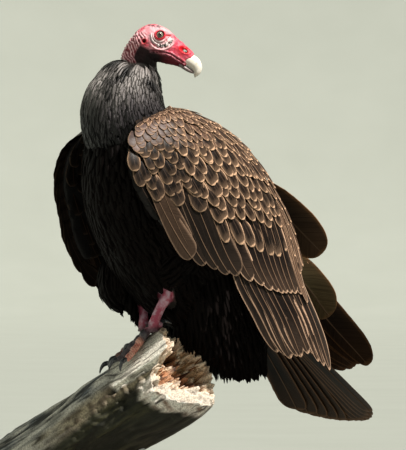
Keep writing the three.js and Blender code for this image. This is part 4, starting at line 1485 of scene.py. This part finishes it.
def fan_surface(lateral, share, lift):
    """The tail's sheet: lateral runs from -1 to 1 across it, share from its root to its tip, roofed along
    its middle."""
    lateral, share, lift = (k[..., None] for k in np.broadcast_arrays(lateral, share, lift))
    half = TAIL_HALF[0] + (TAIL_HALF[1] - TAIL_HALF[0]) * share
    roof = 10 * (1 - lateral**2) * share
    return TAIL_ROOT + TAIL_RUN * share + TAIL_ACROSS * half * lateral + TAIL_UP * (roof + lift)


place = np.array([-1, 1, -0.82, 0.82, -0.64, 0.64, -0.45, 0.45, -0.27, 0.27, -0.09, 0.09])
count = len(place)
s = rows_to_tip(26, 1.9)
level = np.linspace(-9, -1, count)
tips = (place * 0.86, 1 - 0.115 * place**2)
lines = lie(fan_surface, 1, (place * 0.55, np.zeros(count)), tips, level, level, s)
half = 25 * outline(s, 0.9, 0.5, 2.6) * (1 + draw.normal(0, 0.01, (count, len(s))))
spot = np.stack([np.arange(count) / count + GUTTER, np.full(count, GUTTER)], 1)
# Near black: the tail's own dark brown, darkened further as painted shade cast by the wings.
tones = paint(19, 15, 12) * draw.uniform(0.85, 1.15, (count, 1))
patch = (spot, (1 / count - 2 * GUTTER, 0.99))
tail = vanes("tail_feathers", lines, half, s, tones, 0.5, patch, COLUMNS, camber=0.06, thick=0.6, quill=0.8)
tail.data.materials.append(far_finish)
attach(tail, "root")
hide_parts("tail")

# ---- The claws ----
# Curved claws of blue-black horn, one on the end of each toe. Each is a tapering sheath that arches up out
# of the toe and hooks down onto the bark.
def sheath(side, toe):
    """A claw's rings along a path from the toe's end, up over an arch and down to its point."""
    r, length, claw = TOE_RADIUS - 0.6, toe["length"], toe["claw"]
    stations = [
        (length - 1.5, r + 0.4, 3.3),
        (length + 0.2 * claw, r + 3.2, 3.6),
        (length + 0.45 * claw, r + 3.4, 3.0),
        (length + 0.75 * claw, r + 0.8, 2.1),
        (length + 0.94 * claw, 2.6, 1.2),
        (length + claw, 0.8, 0.35),
    ]  # distance along the toe, lift over the bark, half thickness
    run, lift, thick = curve(stations, np.linspace(0, 1, 22)).T
    middle = toe_line(side, toe, run, lift)
    return ringed(np.column_stack([middle, thick * 0.86, thick]), 16)


def claw_horn(tree):
    """Blue-black horn, greyer in streaks where it flakes, with a waxy shine."""
    streaks = grain(tree, 700, 4, (1, 1, 0.4))
    tone = blended(tree, ranged(tree, streaks, 0.45, 0.75), paint(24, 27, 33), paint(92, 94, 98))
    return {
        "Base Color": tone,
        "Roughness": ranged(tree, streaks, 0.3, 0.7, 0.22, 0.42),
        "Normal": relief(tree, streaks, 0.35, 0.0005),
        "Coat Weight": 0.4,
        "Coat Roughness": 0.12,
    }


claw_finish = finish("claw horn", claw_horn)
for side in LEGS:
    for number, toe in enumerate(TOES, 1):
        claw = piece_from("sheath_%s_%d" % (side, number), *shell(sheath(side, toe)))
        claw.data.materials.append(claw_finish)
        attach(claw, "root")
        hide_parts("claw_%s_%d" % (side, number))

# ---- The limb ----
# A length of dead limb, sawn off square at its low end and torn off at its high end, where it has rotted
# out: a flat weathered plank on top, a bite out of the near side that opens an orange fibrous hollow, and a
# thick pale lip.
SAWN = 338
BROKEN = np.array([
    (-3.14, 36), (-2.6, 26), (-2.0, 34), (-1.57, 40), (-1.2, 33), (-0.9, 25), (-0.4, 27), (0, 32), (0.3, 35),
    (0.6, 39), (0.9, 44), (1.15, 43), (1.3, 18), (1.5, 8), (1.7, -2), (1.95, 4), (2.25, 18), (2.5, 32),
    (2.7, 45), (2.95, 45),
])  # the turn in radians, and how far the broken end reaches there


def fibres(s, turn, width, stretch, seed, radius=LIMB_RADIUS):
    """Noise in strands along the limb: its size round the limb is the width, and along it that many times
    more."""
    spot = np.stack(np.broadcast_arrays(s / stretch, radius * np.cos(turn), radius * np.sin(turn)), -1)
    return noise(spot, width, seed)


# The outside: a grid of places s along the limb and turns round it, and the marks on it, each from 0 to 1
# or as noise from -1 to 1.
turn = turns(300)
along = 1 - (1 - np.linspace(0, 1, 190)[:, None]) ** 1.5
teeth = 4.5 * fibres(0, turn, 4, 1, 50) + 6 * fibres(0, turn, 11, 1, 51)
teeth = teeth * (1 - 0.7 * bell(turn, 0.85, 0.4))
rim = np.interp(turn, *BROKEN.T, period=2 * np.pi) + teeth
s = -SAWN + (rim + SAWN) * along
coarse = fibres(s, turn, 15, 3.5, 52)
strand = fibres(s, turn, 4.5, 7, 53)
fine = fibres(s, turn, 1.7, 9, 54)
crust = fibres(s, turn, 6, 1.6, 61)
crack = bell(fibres(s, turn, 12, 9, 55), 0, 0.055) * ramp(coarse, -0.3, 0.3)
plank = ramp(bell(turn, 0.82, 0.62), 0.42, 0.55) * ramp(s, -62, -50)
ledge = ramp(turn, 1.24, 1.32) * ramp(turn, 2.1, 1.6) * ramp(s, -95, -35)
lip = ramp(turn, 1.45, 1.7) * ramp(turn, 3.1, 2.8) * ramp(s, rim - 36, rim - 16)
seam = bell(turn + 0.03 * strand, 1.3, 0.05) * ramp(s, -74, -58)

radius = limb_radius(s, turn) - 0.8
rough = 2.2 * coarse * ramp(s, -20, -110) + 1.1 * strand + 0.4 * fine
rough = rough + 3.2 * crust * ramp(turn, 1.1, 1.4) * ramp(turn, 2.4, 1.8)
radius += rough * (1 - 0.8 * plank) - 3.2 * crack
flat_board = 57 / np.cos(np.clip(turn - 0.82, -0.6, 0.6))
radius += (flat_board - radius) * plank
radius -= 6 * ledge * (1 - lip) - 7 * crust * ledge
radius += 5 * lip + 5 * lip * fibres(s, turn, 8, 1.3, 56) - 6 * seam
outer = on_limb(s, turn, radius)

# The broken end: depth runs from 0 at its rim over the torn wall and down the hollow to 1 at its floor.
depth = np.linspace(0, 1, 80)[1:, None]
wall = 0.86 - 0.36 * bell(turn, 2.2, 0.75) - 0.16 * bell(turn, 0.8, 0.5)
share = np.where(depth < 0.3, 1 - (1 - wall) * depth / 0.3, 0.02 + (wall - 0.02) * (1 - depth) / 0.7)
sink = np.interp(depth, [0, 0.15, 0.3, 0.45, 0.7, 1], [0, 3, 0, -6, -10, -12])
hollow = ramp(depth, 0.2, 0.55)
rot = fibres(0 * depth, turn, 5, 1, 57, share * LIMB_RADIUS)
rot = rot + 0.6 * fibres(0 * depth, turn, 2.4, 1, 58, share * LIMB_RADIUS)
holes = fibres(0 * depth, turn, 14, 1, 59, share * LIMB_RADIUS)
inner_s = rim * (1 - hollow) + 18 * hollow + sink + (7 + 8 * hollow) * rot * ramp(depth, 0, 0.06)
inner_s += 13 * holes * hollow - 26 * ramp(holes, 0.15, 0.45) * hollow
inner = on_limb(inner_s, turn, radius[-1] * share)

# The sawn end: rings out from its middle, with faint saw marks and one check that runs in from the bark.
face = np.linspace(0.04, 0.97, 26)[:, None]
sawn_marks = 0.35 * fibres(0 * face, turn, 2.4, 1, 60, face * LIMB_RADIUS)
sawn_marks -= 2.2 * bell(turn, 2.2, 0.045) * ramp(face, 0, 0.4)
sawn = on_limb(-SAWN - 0.6 + sawn_marks, turn, radius[0] * face)
limb = piece_from("limb_wood", *shell(np.concatenate([sawn, outer, inner])))

# Painted shade: the underside, below a corner under the near side, takes a dark moss green that is partly
# moss and partly the shade beneath the limb.
under = ramp(turn + 0.12 * coarse, 1.42, 1.66) * ramp(turn, 5.6, 4.6) * (1 - lip)
flaking = ramp(turn, 1.0, 1.25) * ramp(turn, 2.6, 2.0) * ramp(s, -260, -120)
rotten = bell(turn, 0.1, 0.32) * ramp(s, 4, 22) + bell(turn, 0.1 + 2 * np.pi, 0.32) * ramp(s, 4, 22)
bark = layered(
    paint(150, 148, 138),
    ((96, 104, 112), 0.5 + 0.9 * coarse),
    ((226, 222, 210), 0.3 + 1.3 * strand),
    ((40, 40, 38), ramp(strand + 0.6 * fine, -0.12, -0.5) * 0.9),
)
bark = washed(bark, layered(paint(172, 160, 134), ((96, 84, 66), 0.5 + 1.2 * crust)), flaking)
moss_and_shade = layered(paint(24, 27, 12), ((56, 56, 30), 0.1 + strand + 0.7 * coarse))
bark = layered(
    washed(bark, moss_and_shade, 0.97 * under),
    ((20, 15, 11), seam * 1.2),
    ((246, 240, 226), plank * (1.0 + 0.4 * fine)),
    ((104, 100, 90), plank * ramp(fine + 0.6 * strand, -0.15, -0.7) * 0.8),
)
bark = washed(bark, layered(paint(150, 112, 74), ((84, 58, 38), 0.4 + rotten + crust)), rotten)
bark = washed(bark, layered(paint(252, 246, 234), ((158, 132, 112), 1.2 * crust)), lip)
bark = layered(
    bark,
    ((52, 38, 32), lip * ramp(strand + 0.5 * fine, -0.2, -0.55)),
    ((40, 34, 28), crack * 0.9 * (1 - lip)),
)
bark = bark * (1 + 0.22 * fine)[..., None]
pale_cut = ramp(depth, 0.34, 0.2) * (0.5 + 0.5 * ramp(turn, 1.3, 1.7) * ramp(turn, 3.6, 3.0))
pith = layered(
    paint(222, 178, 132),
    ((250, 234, 210), 0.4 + 0.9 * rot),
    ((214, 122, 54), ramp(holes, -0.1, 0.25) * hollow * 0.6),
    # Near black-brown in the deepest pits of the rot: partly darker rot, partly painted shade in the pits.
    ((60, 34, 22), ramp(rot + 2 * holes, 0.6, 1.2) * hollow),
    ((206, 196, 182), pale_cut * (1 - 0.5 * ramp(rot, 0.1, 0.7))),
    ((74, 50, 38), pale_cut * ramp(rot, -0.15, -0.55) * 0.9),
)
year_rings = 0.5 + 0.5 * np.sin(face * 60 + 1.5 * np.sin(2 * turn))
cut = layered(paint(150, 120, 84), ((104, 78, 52), year_rings))
colours = np.concatenate([cut, bark, pith]).reshape(-1, 3)
dye(limb, np.vstack([colours, colours[:1], colours[-1:]]))


def dead_wood(tree):
    """Weathered wood: its own colours under fine long fibres, dry and matt."""
    specks = grain(tree, 420, 6)
    patches = grain(tree, 60, 4)
    tone = blended(tree, ranged(tree, specks, 0.32, 0.6), (0.42, 0.4, 0.38), (1, 1, 1))
    tone = blended(tree, 1.0, painted(tree), tone, "MULTIPLY")
    return {
        "Base Color": blended(tree, ranged(tree, patches, 0.55, 0.75, 0.0, 0.06), tone, paint(160, 158, 140)),
        "Roughness": ranged(tree, specks, 0.3, 0.7, 0.75, 0.95),
        "Normal": relief(tree, specks, 0.7, 0.0015),
    }


wood = finish("dead wood", dead_wood)
limb.data.materials.append(wood)
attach(limb, "root")
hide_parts("perch_limb")

# Splinters stand in the hollow and along the lip: thin square spikes, each of five rings.
count = 420
lot = draw.random((count, 4))
angle = lot[:, 0] * 2 * np.pi
inward = 0.45 + 0.5 * np.sqrt(lot[:, 1])
length = 7 + 15 * lot[:, 2] ** 2
start = np.interp(angle, turn, rim, period=2 * np.pi) * ramp(inward, 0.4, 0.9)
start = start + 14 * ramp(inward, 0.9, 0.4) - 16
steps = np.linspace(0, 1, 5)
sideways = draw.normal(0, 0.12, (count, 1)) * steps**2
spike_s = start[:, None] + length[:, None] * steps
spike_radius = inward[:, None] * (LIMB_RADIUS - 2) + 5 * (lot[:, 3:] - 0.4) * steps
spikes = on_limb(spike_s, angle[:, None] + sideways, spike_radius)
along_spike = unit(np.gradient(spikes, axis=1))
flat = unit(np.cross(along_spike, spikes - on_limb(spike_s, angle[:, None], 0 * spike_s)))
deep = np.cross(flat, along_spike)
square = np.pi / 4 + np.pi / 2 * np.arange(4)
thick = ((0.35 + 1.3 * lot[:, 3:] ** 2) * (1 - 0.93 * steps**1.5))[..., None]
wide, tall = (np.cos(square) * thick)[..., None], (0.6 * np.sin(square) * thick)[..., None]
rings = spikes[:, :, None] + (flat[:, :, None] * wide + deep[:, :, None] * tall)
splinters = piece_from("limb_splinters", *joined([shell(spike) for spike in rings]))
tones = layered(paint(206, 176, 130), ((132, 80, 44), lot[:, 2]))
dye(splinters, np.repeat(tones, len(steps) * len(square) + 2, 0))
splinters.data.materials.append(wood)
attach(splinters, "root")

# ---- The stand ----
# A dark stained board with a bevelled edge, and two brushed steel rods that stand on it and hold the limb
# from below. All three keep the shapes they came with, and only take their finishes here.
def stained_board(tree):
    """Long even grain in dark stain under a satin varnish."""
    rings = grain(tree, 9, 3, (0.35, 6, 6))
    pores = grain(tree, 60, 5, (0.5, 22, 22))
    tone = blended(tree, ranged(tree, rings, 0.35, 0.65), paint(58, 38, 26), paint(92, 62, 42))
    return {
        "Base Color": blended(tree, ranged(tree, pores, 0.55, 0.7, 0.0, 0.7), tone, paint(34, 22, 16)),
        "Roughness": ranged(tree, pores, 0.4, 0.7, 0.34, 0.5),
        "Normal": relief(tree, pores, 0.15, 0.0005, invert=True),
        "Coat Weight": 0.35,
        "Coat Roughness": 0.22,
    }


def brushed_steel(tree):
    """Steel with fine marks round the rod and a few cloudy finger marks."""
    marks = grain(tree, 40, 4, (1, 1, 60))
    cloud = grain(tree, 30, 3)
    return {
        "Base Color": blended(tree, cloud, (0.42, 0.42, 0.43), (0.56, 0.56, 0.57)),
        "Metallic": 1.0,
        "Roughness": ranged(tree, marks, 0.3, 0.7, 0.24, 0.4),
        "Normal": relief(tree, marks, 0.1, 0.0002),
    }


board = finish("stained board", stained_board)
steel = finish("brushed steel", brushed_steel)
for name, material in (("stand_base", board), ("stand_rod_high", steel), ("stand_rod_low", steel)):
    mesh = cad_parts[name].data
    mesh.materials.clear()
    mesh.materials.append(material)

# ---- Studio ----
# A pale floor that sweeps up into a far wall, lit by a sun lamp from high on the right, a weak square lamp
# from the left, and a pale room.
def studio_floor():
    """A flat floor that curls up smoothly into a far wall all round: past the bend its height grows as the
    square of the distance."""
    bend = 24
    away = np.concatenate([np.geomspace(0.05, bend, 16), np.linspace(bend + 0.5, 38, 32)])[:, None]
    rise = np.where(away > bend, (away - bend) ** 2 * 0.17, 0)
    around = turns(64)
    rings = np.stack(np.broadcast_arrays(away * np.cos(around), away * np.sin(around), rise), -1)
    points, quads, ends = shell(rings / MM)
    return points[:-1], quads, ends[: len(around)][:, ::-1]


def floor_paint(tree):
    """Matt pale paint with a faint cloudiness."""
    cloud = grain(tree, 3, 2)
    return {"Base Color": blended(tree, cloud, (0.25, 0.27, 0.24), (0.28, 0.3, 0.27)), "Roughness": 0.9}


floor = piece_from("floor", *studio_floor())
floor.data.materials.append(finish("floor paint", floor_paint))

VIEW_AZIMUTH = math.radians(57)
VIEW_DISTANCE = 10.4
aim = Vector((0.0419, 0.0645, 0.480))
toward = Vector((math.sin(VIEW_AZIMUTH), -math.cos(VIEW_AZIMUTH), 0))
right = Vector((math.cos(VIEW_AZIMUTH), math.sin(VIEW_AZIMUTH), 0))
up = Vector((0, 0, 1))
camera = bpy.data.objects.new("camera", bpy.data.cameras.new("camera"))
camera.data.lens = 573.8
camera.location = aim + toward * VIEW_DISTANCE
camera.rotation_euler = toward.to_track_quat("Z", "Y").to_euler()
bpy.context.collection.objects.link(camera)
bpy.context.scene.camera = camera


def lamp(name, kind, direction, power, colour):
    """A lamp that shines from a direction, warm or cool by its colour."""
    made = bpy.data.objects.new(name, bpy.data.lights.new(name, kind))
    made.data.energy = power
    made.data.color = colour
    made.rotation_euler = direction.to_track_quat("Z", "Y").to_euler()
    bpy.context.collection.objects.link(made)
    return made


sun = lamp("key", "SUN", right * 0.5 + up * 0.85 + toward * 0.3, 7.4, (1.0, 0.95, 0.88))
sun.data.angle = math.radians(5)
from_fill = toward * 0.9 - right * 0.35 + up * 0.2
fill = lamp("fill", "AREA", from_fill, 4, (0.92, 0.96, 1.0))
fill.data.size = 1.8
fill.location = Vector((0, 0.05, 0.5)) + from_fill.normalized() * 3.2
world = bpy.data.worlds.new("room")
world.use_nodes = True
room = world.node_tree.nodes["Background"].inputs
room["Color"].default_value = (0.8, 0.86, 0.82, 1)
room["Strength"].default_value = 0.14
bpy.context.scene.world = world
bpy.context.scene.view_settings.view_transform = "Standard"
